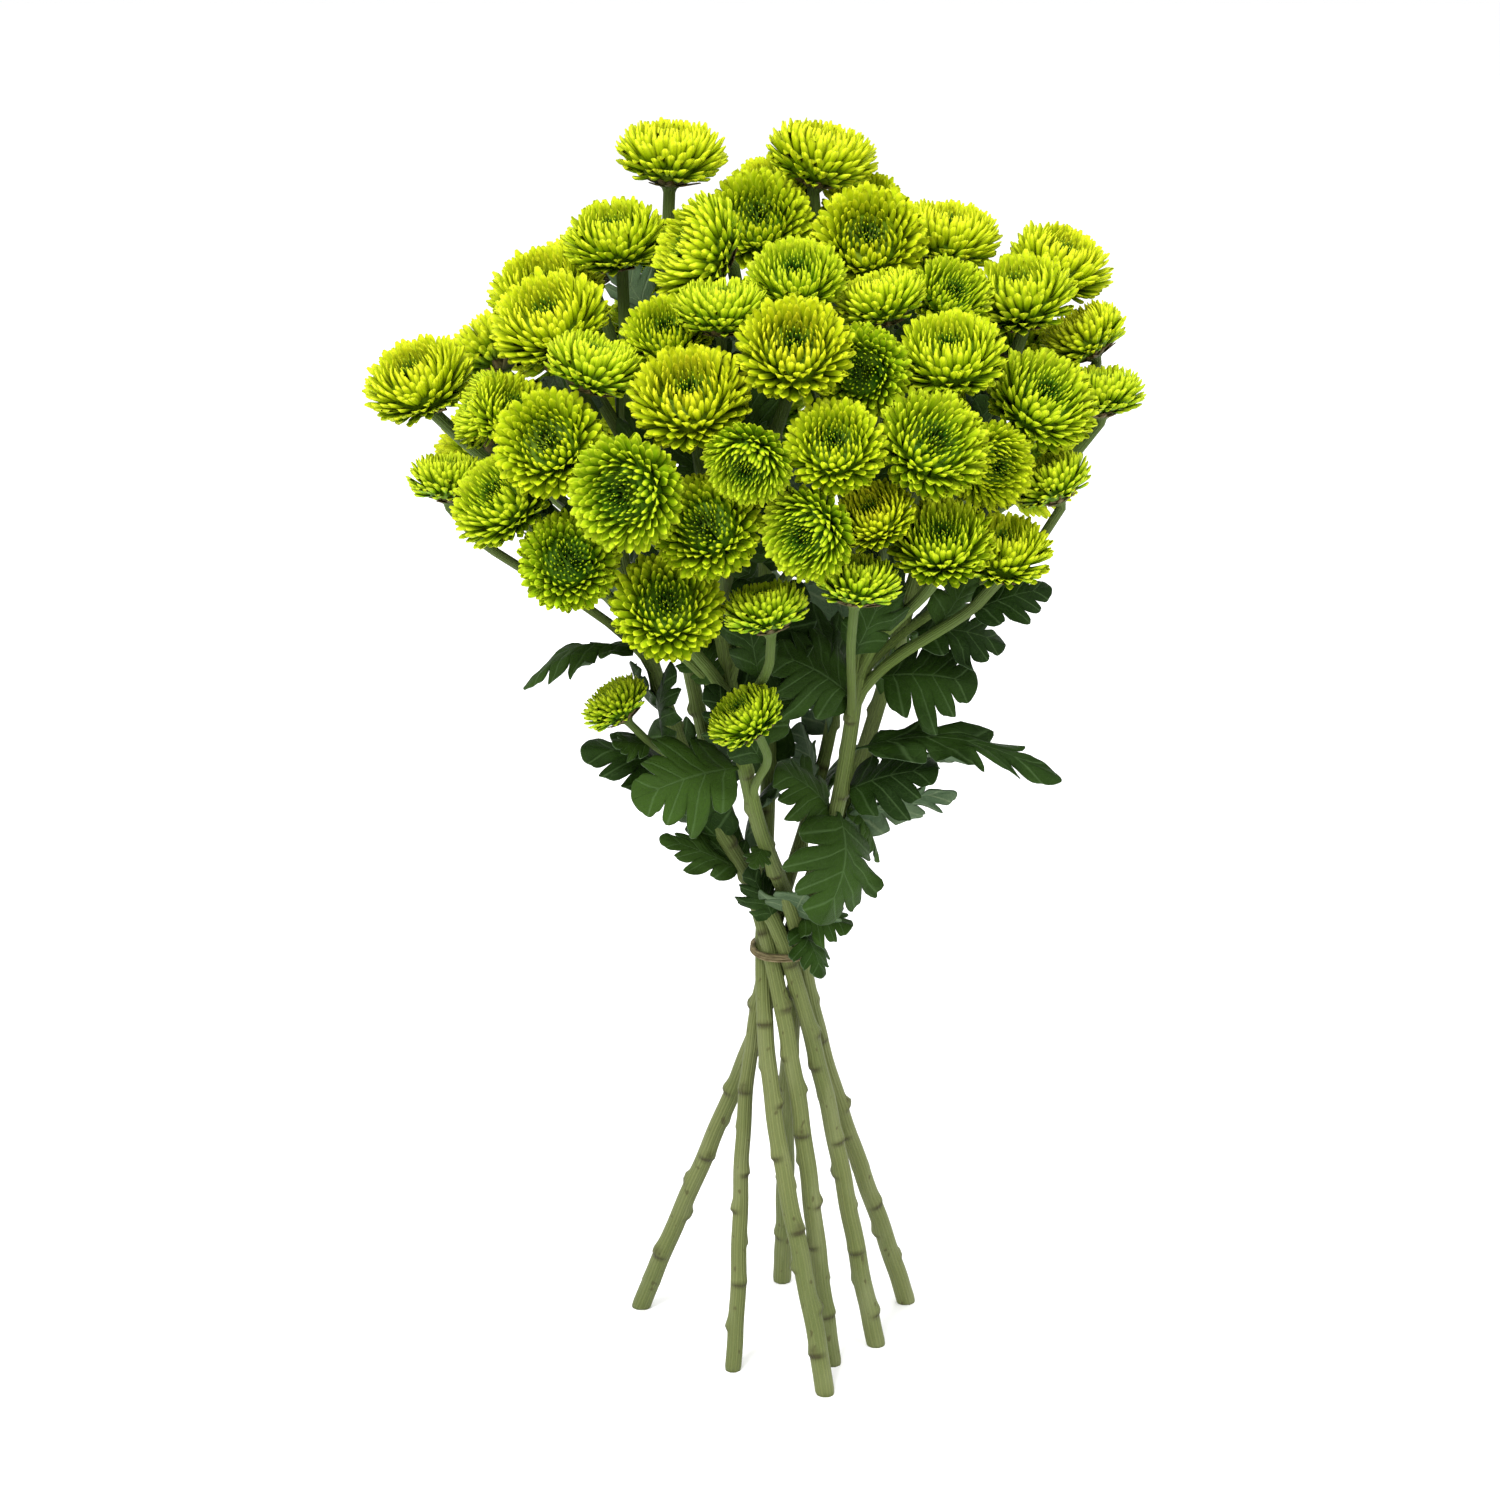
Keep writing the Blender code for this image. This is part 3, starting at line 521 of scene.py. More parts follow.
def ready_floret(share, young):
    """The floret that grows at a share of the way from the heart to the edge."""
    tip_out, tip_up, foot_out, foot_up, spacing, bulge = form_at(share, young)
    foot, tip = Vector((foot_out, 0, foot_up)), Vector((tip_out, 0, tip_up))
    outward = Vector((tip.z - foot.z, 0.0, foot.x - tip.x))
    curve = (foot, foot.lerp(tip, BULGE_AT) + bulge * outward, tip)
    if share < NEEDLES_TO[0] + young * (NEEDLES_TO[1] - NEEDLES_TO[0]):
        section, stations = NEEDLE, NEEDLE_STATIONS
    else:
        section, stations = BOAT, RIDGE_STATIONS if share < RIDGES_TO else BLADE_STATIONS
    return floret_mesh(curve, spacing * FLORET_WIDTH, section, stations, share)


def bloom_pattern(young):
    """One bloom of radius 1 round the z axis, as a mesh."""
    ready = [ready_floret(level / (SHAPES_ALONG - 1), young) for level in range(SHAPES_ALONG)]
    shape = bmesh.new()
    paint = shape.verts.layers.float_color.new("floret")
    shape.verts.layers.float.new("floret_edge")
    core_into(shape, paint)
    for index, share in enumerate(floret_order(young)):
        corners = copy_into(shape, ready[round(share * (SHAPES_ALONG - 1))])
        own = random.random()
        for corner in corners:
            corner[paint] = (*corner[paint][:2], own, 1.0)
        loose = 0.3 + share
        tilt = Matrix.Rotation(random.gauss(0.0, TILT_SPREAD) * loose, 4, "Y")
        lean = Matrix.Rotation(random.gauss(0.0, LEAN_SPREAD) * loose, 4, "X")
        turn = Matrix.Rotation(index * GOLDEN_ANGLE + random.gauss(0.0, TURN_SPREAD), 4, "Z")
        reach = Matrix.Scale(random.uniform(SHORTEST, LONGEST), 4)
        bmesh.ops.transform(shape, matrix=turn @ reach @ tilt @ lean, verts=corners)
    for used in ready:
        bpy.data.meshes.remove(used)
    return mesh_from(shape, "bloom_pattern")


patterns = {
    "ripe": [bloom_pattern(0.1 * count) for count in range(PATTERNS)],
    "young": [bloom_pattern(1.0 - 0.15 * count) for count in range(PATTERNS)],
}
print("pattern faces:", [len(pattern.polygons) for pattern in patterns["ripe"] + patterns["young"]])

# %% [markdown]
# ## Reading where each bloom stands
#
# The solid bloom is a flat dome, so its corners spread least along its axis: that is the
# direction of least variance. It runs from the flat base to the highest tips, which is one
# radius, and the base is the end whose corners lie further out. A heart sits deeper among
# loose florets than in the solid, so it would show too near to the bloom's middle: each
# bloom that shows leans a little further from the line of sight, which puts its heart right.
# The places could be typed in again, but read from the solids they can't disagree with them.

# %% Bloom places from the solid model
BASE_AT = -0.42
END_SHARE = 0.23
LEANS_FURTHER = 0.38
MOST_LEAN = math.radians(78.0)


def leant(axis, centre):
    """An axis turned further away from the line of sight to the camera."""
    sight = (EYE + SHIFT - centre).normalized()
    angle = sight.angle(axis)
    further = max(min(LEANS_FURTHER * angle, MOST_LEAN - angle), 0.0)
    return Matrix.Rotation(further, 3, sight.cross(axis)) @ axis


def bloom_place(node):
    """The centre, axis and radius of a solid bloom."""
    points = np.unique(np.round([corner.co for corner in node.data.vertices], 6), axis=0)
    middle = points.mean(axis=0)
    axis = np.linalg.svd(points - middle, full_matrices=False)[2][2]
    along = (points - middle) @ axis
    out = np.linalg.norm(points - middle - along[:, None] * axis, axis=1)
    span = along.max() - along.min()
    low_end = out[along < along.min() + END_SHARE * span].mean()
    high_end = out[along > along.max() - END_SHARE * span].mean()
    if high_end > low_end:
        axis, along = -axis, -along
    centre = Vector(middle + axis * (along.min() - BASE_AT * span))
    return centre, leant(Vector(axis), centre), float(span)


BLOOMS = {
    name: bloom_place(node) for name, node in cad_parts.items() if name.startswith("bloom")
}
print(len(BLOOMS), "blooms, radii", [round(1000 * place[2], 1) for place in BLOOMS.values()][:6])

# %% [markdown]
# ## Planting the blooms
#
# Each bloom is a pattern's mesh, spun by an angle of its own, tilted to its axis and moved
# to its place, all in the mesh, so the object itself stays at the origin. Copies of one
# object could share a mesh, but each bloom is a piece that stands alone. Loose petals fill a
# little more room than the plain solid, so they are drawn a little larger. Deep green and
# fresh blooms have young hearts.

# %% A bloom in its place
BLOOM_GROWN = 1.07
SPIN_STEP = 1.7


def standing(centre, axis):
    """The matrix that tilts the z axis to another one and moves it to a place."""
    turn = Vector((0, 0, 1)).rotation_difference(axis).to_matrix().to_4x4()
    return Matrix.Translation(centre) @ turn


def pattern_at(colour, count, centre, axis, radius):
    """A bloom's mesh in its place."""
    ready = patterns["young" if colour in ("deep", "fresh") else "ripe"]
    mesh = ready[count % PATTERNS].copy()
    spin = Matrix.Rotation(SPIN_STEP * count, 4, "Z")
    mesh.transform(standing(centre, axis) @ spin @ Matrix.Scale(BLOOM_GROWN * radius, 4))
    return mesh


def add_piece(name, mesh, finish, nodes):
    """Puts a finished mesh in the scene, riding on the bunch in place of solid nodes."""
    mesh.name = name
    mesh.materials.clear()
    mesh.materials.append(finish)
    mesh.polygons.foreach_set("use_smooth", [True] * len(mesh.polygons))
    piece = bpy.data.objects.new(name, mesh)
    bpy.context.scene.collection.objects.link(piece)
    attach(piece, "root")
    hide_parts(*nodes)


print("ready to plant")

# %% Blooms that show in the photograph
# the blooms that aren't plain lime
BLOOM_COLOURS = {
    "yellow": (10, 22, 41),
    "deep": (23, 33, 38, 40, 42, 46, 48, 51, 52),
    "fresh": (6, 9, 13, 20, 25, 30, 31, 35, 37, 39, 43, 47, 49, 50),
    "olive": (1, 3, 4, 5, 14, 15, 17, 18, 19, 27, 28),
}


def colour_of(number):
    """The colour of the bloom with a number."""
    for colour, numbers in BLOOM_COLOURS.items():
        if number in numbers:
            return colour
    return "lime"


for index, (name, (centre, axis, radius)) in enumerate(sorted(BLOOMS.items())):
    number = int(name.split("_")[1])
    colour = colour_of(number)
    mesh = pattern_at(colour, index, centre, axis, radius)
    add_piece(f"florets_{number:02d}", mesh, FLORET_FINISHES[colour], [name])
print("planted", len(BLOOMS), "blooms")

# %% [markdown]
# ## The lines of the stems
#
# The stems splay from their cut ends, cross at the tie and spread again under the head. The
# lines could be drawn afresh, but a stem that strays from its solid would miss its blooms.
# So they are the solid model's own, worked out from the same few points: the pixel of the
# cut end, the azimuth at the tie, the fork and the top.

# %% Lines of sight and curves
def sight_direction(across, down):
    """The direction of sight through a pixel, one metre deep."""
    middle = FRAME / 2
    return FORWARD + PIXEL * ((across - middle) * RIGHT - (down - middle) * UP)


def cubic_point(points, share):
    """A point of the cubic curve with four control points."""
    rest = 1 - share
    a, b, c, d = points
    return rest**3 * a + 3 * rest**2 * share * b + 3 * rest * share**2 * c + share**3 * d


print("sight through the middle", [round(part, 2) for part in sight_direction(FRAME / 2, FRAME / 2)])

# %% Stem lines
STEMS = {
    "stem_a": (641, 1306, 75.0, (0.034, 0.008, 0.255), (0.060, 0.010, 0.350)),
    "stem_b": (733, 1369, 126.0, (0.022, 0.028, 0.258), (0.036, 0.046, 0.350)),
    "stem_c": (782, 1280, 23.0, (0.026, -0.022, 0.255), (0.036, -0.046, 0.345)),
    "stem_d": (825, 1393, 178.0, (-0.002, 0.034, 0.258), (-0.004, 0.056, 0.350)),
    "stem_e": (832, 1363, 229.0, (-0.026, 0.022, 0.255), (-0.046, 0.038, 0.350)),
    "stem_f": (876, 1344, 280.0, (-0.032, -0.006, 0.255), (-0.060, -0.010, 0.345)),
    "stem_g": (906, 1301, 332.0, (-0.008, -0.031, 0.252), (-0.022, -0.052, 0.340)),
}
LINE_STEP = 0.003
FINE_STEP = 0.0012
WAIST_RING = 0.0082
WAIST_SLOPE = 0.30
# how far along a leg of the line its middle control points lie
FOOT_PULL, TIE_PULL, FORK_PULL, HEAD_PULL, TOP_PULL = 0.35, 0.40, 0.35, 0.33, 0.70


def stem_line(across, down, waist_azimuth, fork, top, step=LINE_STEP):
    """The middle line of a stem from its cut end to its top."""
    ray = sight_direction(across, down)
    foot = EYE - ray * (EYE.z / ray.z)
    foot.z = 0.0
    turn = math.radians(waist_azimuth)
    waist = WAIST_CENTRE + WAIST_RING * Vector((math.cos(turn), math.sin(turn), 0.0))
    ahead = Vector((WAIST_SLOPE * math.sin(turn), -WAIST_SLOPE * math.cos(turn), 1.0)).normalized()
    fork, top = Vector(fork), Vector(top)
    below, above = (waist - foot).length, (fork - waist).length
    rise = (top - waist).normalized()
    legs = (
        (foot, foot.lerp(waist, FOOT_PULL), waist - TIE_PULL * below * ahead, waist),
        (waist, waist + FORK_PULL * above * ahead, fork - FORK_PULL * above * rise, fork),
        (fork, fork + HEAD_PULL * (top - fork).length * rise, fork.lerp(top, TOP_PULL), top),
    )
    line = []
    for leg in legs:
        count = round((leg[3] - leg[0]).length / step)
        line += [cubic_point(leg, place / count) for place in range(count)]
    return [*line, top]


lines = {name: stem_line(*row) for name, row in STEMS.items()}
print("stem lengths", [round(LINE_STEP * len(line), 2) for line in lines.values()])

# %% [markdown]
# ## The lines of the flower stalks
#
# A spray is one stem that forks under its blooms. Each stalk leaves the stem at a height that
# lets it climb steeply, curves outwards and meets its bloom along the bloom's own axis, as a
# growing stalk does. Each bloom is carried by the stem whose top is nearest in direction.

# %% Stalk lines
LOWEST_FORK = 0.205
FORK_BELOW = 0.020
FORK_SLOPE = 0.9
LAST_NODE_CLEAR = 0.004
SEAT_GAP = 0.0003
STALK_STEPS = 12
STALK_LEAN = 0.55
STALK_PULL = 0.33
NECK_SHARE = 0.38
LONGEST_NECK = 0.024


def nearest_place(line, height):
    """The index of the first point of a line at or above a height."""
    for index, point in enumerate(line):
        if point.z >= height:
            return index
    return len(line) - 1


def azimuth(point):
    """The direction of a point seen from above, in degrees."""
    return math.degrees(math.atan2(point.y, point.x)) % 360


def stem_for(centre):
    """The stem whose top is nearest in azimuth to a bloom."""
    def difference(name):
        turn = abs(azimuth(Vector(STEMS[name][4])) - azimuth(centre)) % 360
        return min(turn, 360 - turn)

    return min(STEMS, key=difference)


def stalk_line(centre, axis, radius, line, seat_gap):
    """The middle line of a flower stalk, from inside its stem to the underside of its bloom."""
    seat = centre + axis * (BASE_AT * radius - seat_gap)
    top = line[-1]
    spread = Vector((seat.x - top.x, seat.y - top.y, 0.0)).length
    height = max(seat.z - FORK_SLOPE * spread - FORK_BELOW, LOWEST_FORK)
    fork = line[nearest_place(line, min(height, top.z - LAST_NODE_CLEAR))]
    length = (seat - fork).length
    rise = Vector((0, 0, 1)).lerp((seat - fork).normalized(), STALK_LEAN).normalized()
    neck = min(NECK_SHARE * length, LONGEST_NECK)
    legs = (fork, fork + STALK_PULL * length * rise, seat - neck * axis, seat)
    return [cubic_point(legs, place / STALK_STEPS) for place in range(STALK_STEPS + 1)]


print("each stalk has", STALK_STEPS + 1, "points")

# %% [markdown]
# ## The far side's blooms
#
# The photograph shows one side. The bunch is round, so rows of blooms that follow the head
# close it on the far side. They are part of the solid stems. They could be scattered at
# random, but the rule that placed them there puts these in the very same places.

# %% Rows of blooms by rule
HEAD_CENTRE = Vector((-0.008, 0.0, 0.390))
BACK_HALF = Vector((0.125, 0.106, 0.092))
# each row: how many blooms, their latitude, and the azimuths of the first and the last
BACK_ROWS = ((7, -10.0, 24.0, 156.0), (7, 17.0, 22.0, 154.0), (4, 43.0, 44.0, 138.0))
BACK_BLOOM_RADIUS = 0.0225
BACK_RADIUS_SPREAD = 0.06
FACES_UP = Vector((0.0, 0.0, 0.25))
SUNK_SEAT = 0.0008


def direction_at(turn, rise):
    """The direction at an azimuth and a rise, both in radians."""
    level = math.cos(rise)
    return Vector((level * math.cos(turn), level * math.sin(turn), math.sin(rise)))


def back_blooms():
    """The centre, axis and radius of each bloom on the far side."""
    places = []
    for row, (count, latitude, first, last) in enumerate(BACK_ROWS):
        for place in range(count):
            turn = math.radians(first + (last - first) * place / (count - 1))
            out = direction_at(turn, math.radians(latitude))
            steep = Vector((out.x / BACK_HALF.x, out.y / BACK_HALF.y, out.z / BACK_HALF.z))
            axis = (steep.normalized() + FACES_UP).normalized()
            radius = BACK_BLOOM_RADIUS * (1 - BACK_RADIUS_SPREAD * (1 - math.cos(2.4 * place + row)))
            places.append((HEAD_CENTRE + out * BACK_HALF, axis, radius))
    return places


flower_places = {
    name: (centre - SHIFT, axis, radius, SEAT_GAP) for name, (centre, axis, radius) in BLOOMS.items()
}
for count, (centre, axis, radius) in enumerate(back_blooms()):
    flower_places[f"back_{count + 1:02d}"] = (centre, axis, radius, -SUNK_SEAT)
homes = {name: stem_for(place[0]) for name, place in flower_places.items()}
stalks = {
    name: stalk_line(*place[:3], lines[homes[name]], place[3]) for name, place in flower_places.items()
}
print(len(stalks), "flower stalks")

# %% [markdown]
# ## The far blooms as pieces
#
# The solid stems carry the far side's blooms, so these blooms replace parts of the stems and
# not nodes of their own. They are joined to one piece for each stem, in one colour, so that
# the scene stays easy to read.

# %% Far blooms planted, one piece for each stem
def joined_mesh(name, meshes):
    """Several meshes as one."""
    shape = bmesh.new()
    for mesh in meshes:
        shape.from_mesh(mesh)
        bpy.data.meshes.remove(mesh)
    return mesh_from(shape, name)


FAR_COLOURS = ("lime", "yellow", "lime", "deep", "olive", "fresh", "yellow")
for stem, colour in zip(STEMS, FAR_COLOURS):
    meshes = []
    for index, name in enumerate(flower_places):
        if name.startswith("back") and homes[name] == stem:
            centre, axis, radius, _ = flower_places[name]
            meshes.append(pattern_at(colour, index, centre + SHIFT, axis, radius))
    if meshes:
        far = joined_mesh(stem, meshes)
        add_piece(f"{stem}_far_florets", far, FLORET_FINISHES[colour], [stem])
print("far side planted")

# %% [markdown]
# ## Finish of the stems
#
# Chrysanthemum stems are grey-green, ribbed along their length and slightly downy, with a
# brown line under each place where a leaf was stripped. The cup's bracts are darker, with
# dry brown edges. Each corner carries its level from the cut end to the bracts, its angle
# round the stem, and how brown it is. Stem and bracts could have a finish each, but one
# finish that reads the level lets the colours run into one another as they do on a plant.

# %% The stem finish
RIB_LINES = 18
# dark stripes along the ribs: partly the stem's own stripes, partly painted shade in the grooves
RIB_STRIPE_AND_SHADE = (0.075, 0.100, 0.026)
SPECK_COLOUR = (0.060, 0.055, 0.018)


def stem_finish():
    """Grey-green with ribs, specks and scars, darker up the stalks, and brown at the bracts' tips; the
    darker stalks and rib stripes are partly painted shade.
    """
    made = Finish("ribbed_stem", Roughness=0.60, Specular_IOR_Level=0.16)
    level, around, scar = made.painted("stem")
    rib = made.math("SINE", around * (math.pi * RIB_LINES)) * 0.5 + 0.5
    down = made.noise(made.place(), 2600.0, 2.0)
    patch = made.noise(made.place((1.0, 1.0, 0.35)), 70.0, 3.0)
    cloud = made.noise(made.place((1.0, 1.0, 0.40)), 22.0, 3.0)
    colour = made.mix(level.between(0.20, 0.50), (0.146, 0.165, 0.054), (0.120, 0.180, 0.033))
    # darker towards the cups: partly the stalks' own greener colour, partly painted shade under the
    # head
    colour = made.mix(level.between(0.55, 0.90), colour, (0.060, 0.115, 0.014))
    colour = made.mix(cloud.between(0.40, 0.65) * 0.55, colour, (0.085, 0.110, 0.030))
    # rib stripes, partly painted shade in the grooves between the ribs
    colour = made.mix(rib * 0.50, colour, RIB_STRIPE_AND_SHADE)
    bare = 1.0 - level.between(0.25, 0.60) * 0.8
    colour = made.mix(patch.between(0.45, 0.75) * bare * 0.45, colour, (0.205, 0.225, 0.105))
    colour = made.mix(down.between(0.55, 0.75) * bare * 0.15, colour, (0.32, 0.34, 0.20))
    speck = made.noise(made.place((1.0, 1.0, 0.6)), 330.0, 1.0)
    colour = made.mix(speck.between(0.68, 0.76) * bare * 0.75, colour, SPECK_COLOUR)
    bract = made.mix(patch.between(0.35, 0.65), (0.035, 0.060, 0.012), (0.085, 0.105, 0.025))
    colour = made.mix(level.between(0.93, 0.98), colour, bract)
    brown = made.mix(level.between(0.93, 0.98), (0.034, 0.030, 0.008), (0.150, 0.095, 0.045))
    colour = made.mix(scar * (0.65 + 0.5 * patch), colour, brown)
    made.feed("Base Color", colour)
    made.feed("Roughness", 0.50 + 0.18 * patch)
    made.relief(rib * 0.9 + down * 0.15, 0.00028, 0.8)
    return made.material


STEM_FINISH = stem_finish()
print("stem finish ready")

# %% [markdown]
# ## Tubes along a line
#
# A stem could be a curve with a round bevel. It is made of rings along its line instead, so
# that every ring can swell and every corner can carry a colour. The turn of each ring follows
# the one below, so the ribs run up the stem without twisting.

# %% A tube along a line
STEM_RADIUS = 0.0033
FOOT_RADIUS = 0.0040
TOP_RADIUS = 0.0029
THINS_OVER = 0.17


def smooth(value, low, high):
    """0 below low, 1 above high, and smooth between them."""
    share = min(max((value - low) / (high - low), 0.0), 1.0)
    return share * share * (3 - 2 * share)


def tube_into(shape, points, radii, sides, levels, detail=None):
    """Adds a closed tube along a path; the detail gives each corner's lift and how brown it is."""
    paint = shape.verts.layers.float_color["stem"]
    rings, last = [], None
    for index, (point, radius) in enumerate(zip(points, radii)):
        ahead = points[min(index + 1, len(points) - 1)] - points[max(index - 1, 0)]
        ahead.normalize()
        if last is None:
            turn = Vector((0, 0, 1)).rotation_difference(ahead)
        else:
            turn = last[1].rotation_difference(ahead) @ last[0]
        last = (turn, ahead)
        place = Matrix.Translation(point) @ turn.to_matrix().to_4x4()
        ring = bmesh.ops.create_circle(shape, segments=sides, radius=radius, matrix=place)["verts"]
        for corner, vert in enumerate(ring):
            lift, scar = detail(point.z, 2 * math.pi * corner / sides) if detail else (0.0, 0.0)
            vert.co = point + (vert.co - point) * (1 + lift / radius)
            vert[paint] = (levels[index], abs(2 * corner / sides - 1), scar, 1.0)
        rings.append(ring)
    return rings, bridge_rings(shape, rings)


def stem_radius(height):
    """How thick a stem is at a height: it thins to the tie, and again up to the head."""
    if height < WAIST_HEIGHT:
        return FOOT_RADIUS + (STEM_RADIUS - FOOT_RADIUS) * height / WAIST_HEIGHT
    share = min((height - WAIST_HEIGHT) / THINS_OVER, 1.0)
    return STEM_RADIUS + (TOP_RADIUS - STEM_RADIUS) * share


print("stem radius at the tie", 1000 * stem_radius(WAIST_HEIGHT), "mm")

# %% [markdown]
# ## Leaf scars
#
# A scar is the swollen foot of a leaf that was stripped: gentle above and sharp below, with a
# brown line under it, and half of them have a small bud. One stands every 16 mm or so, each on
# another side. Scars could be modelled one by one and joined on. Here they lift and colour the
# tube's own corners, because a scar then grows out of its stem without a seam.

# %% Scars and ribs
RIBS = 9
RIB_DEPTH = 0.02
SCARS = 21
FIRST_SCAR = 0.012
SCAR_SPACING = 0.0165
SCAR_STAGGER = 0.007
SCAR_SHIFT = 0.0025
SCAR_TURN, STEM_TURN = 2.4, 0.9
SCAR_SIZES = (0.65, 1.15)
# scars are pressed flat by the tie: how near to it, and from where they are full
PRESSED, FREE = 0.008, 0.022
SCAR_LIFT = 0.0012
SCAR_REACH = 0.012
SWELLS_ABOVE, SWELLS_BELOW = 0.0034, 0.0009
MARK_BELOW, MARK_WIDTH, MARK_BROWN = 0.0006, 0.0011, 1.4
BUD_AT, BUD_WIDTH, BUD_BROWN = 0.0022, 0.0016, 0.7
BUD_LIFT = 0.0010


def scars_of(index):
    """The height, azimuth, size and bud of each scar of a stem."""
    scars = []
    for count in range(SCARS):
        height = FIRST_SCAR + SCAR_STAGGER * index % SCAR_SPACING + count * SCAR_SPACING
        height += random.uniform(-SCAR_SHIFT, SCAR_SHIFT)
        free = smooth(abs(height - WAIST_HEIGHT), PRESSED, FREE)
        size = random.uniform(*SCAR_SIZES) * (0.15 + 0.85 * free)
        turn = SCAR_TURN * count + STEM_TURN * index
        scars.append((height, turn, size, random.random() < 0.5))
    return scars


def scarred(scars):
    """The lift and browning that a stem's scars and ribs give at a height and azimuth."""
    def detail(height, azimuth):
        lift = RIB_DEPTH * STEM_RADIUS * math.cos(RIBS * azimuth)
        brown = 0.0
        for at, turn, size, bud in scars:
            above = height - at
            if abs(above) < SCAR_REACH:
                facing = max(0.0, math.cos(azimuth - turn))
                swell = hump(above, SWELLS_ABOVE if above > 0 else SWELLS_BELOW)
                lift += SCAR_LIFT * size * swell * facing
                brown += MARK_BROWN * facing**1.5 * hump(above + MARK_BELOW, MARK_WIDTH)
                if bud:
                    nub = hump(above - BUD_AT, BUD_WIDTH) * facing**12
                    lift += BUD_LIFT * size * nub
                    brown += BUD_BROWN * nub
        return lift, min(brown, 1.0)

    return detail


print(SCARS, "scars on each stem")

# %% [markdown]
# ## The main stems
#
# A cut stem bends a little at each leaf, is rounded at its cut end and stands flat on it. The
# bends could come from more points in the line. A slow sway between the cut end and the tie
# does the same with less to get wrong.

# %% Main stems
STEM_SIDES = 18
STEM_LEVELS = 0.6
SWAY = 0.0002
TIE_CLEAR = 0.016
CUT_ROUNDING = 0.10
PITH_RIM = 0.0009
# one spray is thinner than the others
THINNER = {"stem_b": 0.86}


def main_stem_into(shape, name):
    """The main stem: scarred, swaying a little, and flat on its cut end."""
    index = list(STEMS).index(name)
    thin = THINNER.get(name, 1.0)
    line = stem_line(*STEMS[name], FINE_STEP)
    radii = []
    for point in line:
        turn = math.pi * point.z / SCAR_SPACING + index
        sway = SWAY * smooth(point.z, 0.004, 0.020) * smooth(WAIST_HEIGHT - point.z, TIE_CLEAR, 0.040)
        point.x += sway * math.sin(turn)
        point.y += sway * math.sin(0.8 * turn + 1.3)
        full = 1 - CUT_ROUNDING + CUT_ROUNDING * smooth(point.z, -0.0010, 0.0015)
        radii.append(thin * stem_radius(point.z) * full)
    levels = [point.z / STEM_LEVELS for point in line]
    rings, caps = tube_into(shape, line, radii, STEM_SIDES, levels, scarred(scars_of(index)))
    ahead = (line[1] - line[0]).normalized()
    for corner in rings[0]:
        corner.co -= ahead * (corner.co.z / ahead.z)
        corner.co.z = 0.0
    bmesh.ops.inset_region(shape, faces=caps[:1], thickness=PITH_RIM)


print("stem recipe ready")

# %% [markdown]
# ## The cup under a bloom
#
# A flower stalk is a plain tube that flares at its end into the cup that the bloom sits in.
# The cup could be spun on its own, but as the last rings of the stalk it has no seam.

# %% Stalks and cups
STALK_SHARE = 0.12
STALK_SIDES = 10
STALK_FOOT = 1.25
# the cup's half section: how far below the seat and how far out, in shares of the radius
CUP = ((0.30, 0.10), (0.22, 0.15), (0.13, 0.27), (0.05, 0.38), (0.0, 0.42))
STALK_LEVELS = (0.52, 0.90)


def cup_into(shape, axis, radius, stalk):
    """The flower stalk and its cup."""
    seat = stalk[-1]
    thick = STALK_SHARE * radius
    points = [point.copy() for point in stalk[:-3]]
    radii = [thick * (STALK_FOOT if index == 0 else 1.0) for index in range(len(points))]
    for down, out in CUP:
        points.append(seat - down * radius * axis)
        radii.append(max(out * radius, thick))
    low, high = STALK_LEVELS
    levels = [low + (high - low) * index / (len(points) - 1) for index in range(len(points))]
    tube_into(shape, points, radii, STALK_SIDES, levels)


print("cup recipe ready")

# %% [markdown]
# ## Bracts
#
# The cup is wrapped in two rows of narrow green bracts with dry brown, papery tips. They are
# all that is seen of a bloom from below. Each bract starts as a small grid, is pinched to a
# point, bent outwards and given a thickness. A few whole cups of bracts are made and each
# bloom gets a copy of one, because bracts made anew for each bloom would take minutes.

# %% Bract patterns
# each row: how many bracts, how low they start, their width and their length
BRACT_ROWS = ((13, -0.61, 0.44, 0.17), (15, -0.55, 0.48, 0.17))
BRACT_PATTERNS = 4
BRACT_LEVEL = 1.0
BRACT_THICKNESS = 0.016
BRACT_TURN_SPREAD = 0.07
BRACT_FOOT, BRACT_FLARE, BRACT_HOLLOW = 0.17, 0.40, 0.08


def bract_pattern():
    """Two rows of bracts round a cup of radius 1, bent and torn a little."""
    shape = bmesh.new()
    paint = shape.verts.layers.float_color.new("stem")
    for row, (count, low, width, length) in enumerate(BRACT_ROWS):
        for place in range(count):
            made = bmesh.ops.create_grid(shape, x_segments=2, y_segments=2, size=0.5)["verts"]
            reach = random.uniform(0.7, 1.3)
            spread = random.uniform(-0.02, 0.08)
            for corner in made:
                across, along = corner.co.x, corner.co.y + 0.5
                narrow = 0.26 * width * (1 - along**2.5) + 0.02
                rise = low + length * along**1.4 * reach
                out = BRACT_FOOT + BRACT_FLARE * along - BRACT_HOLLOW * abs(across)
                corner.co = (out + 0.02 * row + spread * along**2, across * narrow * 2, rise)
                corner[paint] = (BRACT_LEVEL, 0.5, 0.10 + 0.90 * along**1.5, 1.0)
            spin = 2 * math.pi * (place + 0.5 * row) / count + random.gauss(0.0, BRACT_TURN_SPREAD)
            bmesh.ops.transform(shape, matrix=Matrix.Rotation(spin, 4, "Z"), verts=made)
            bmesh.ops.solidify(shape, geom=linked(made, "link_faces"), thickness=BRACT_THICKNESS)
    return mesh_from(shape, "bracts")


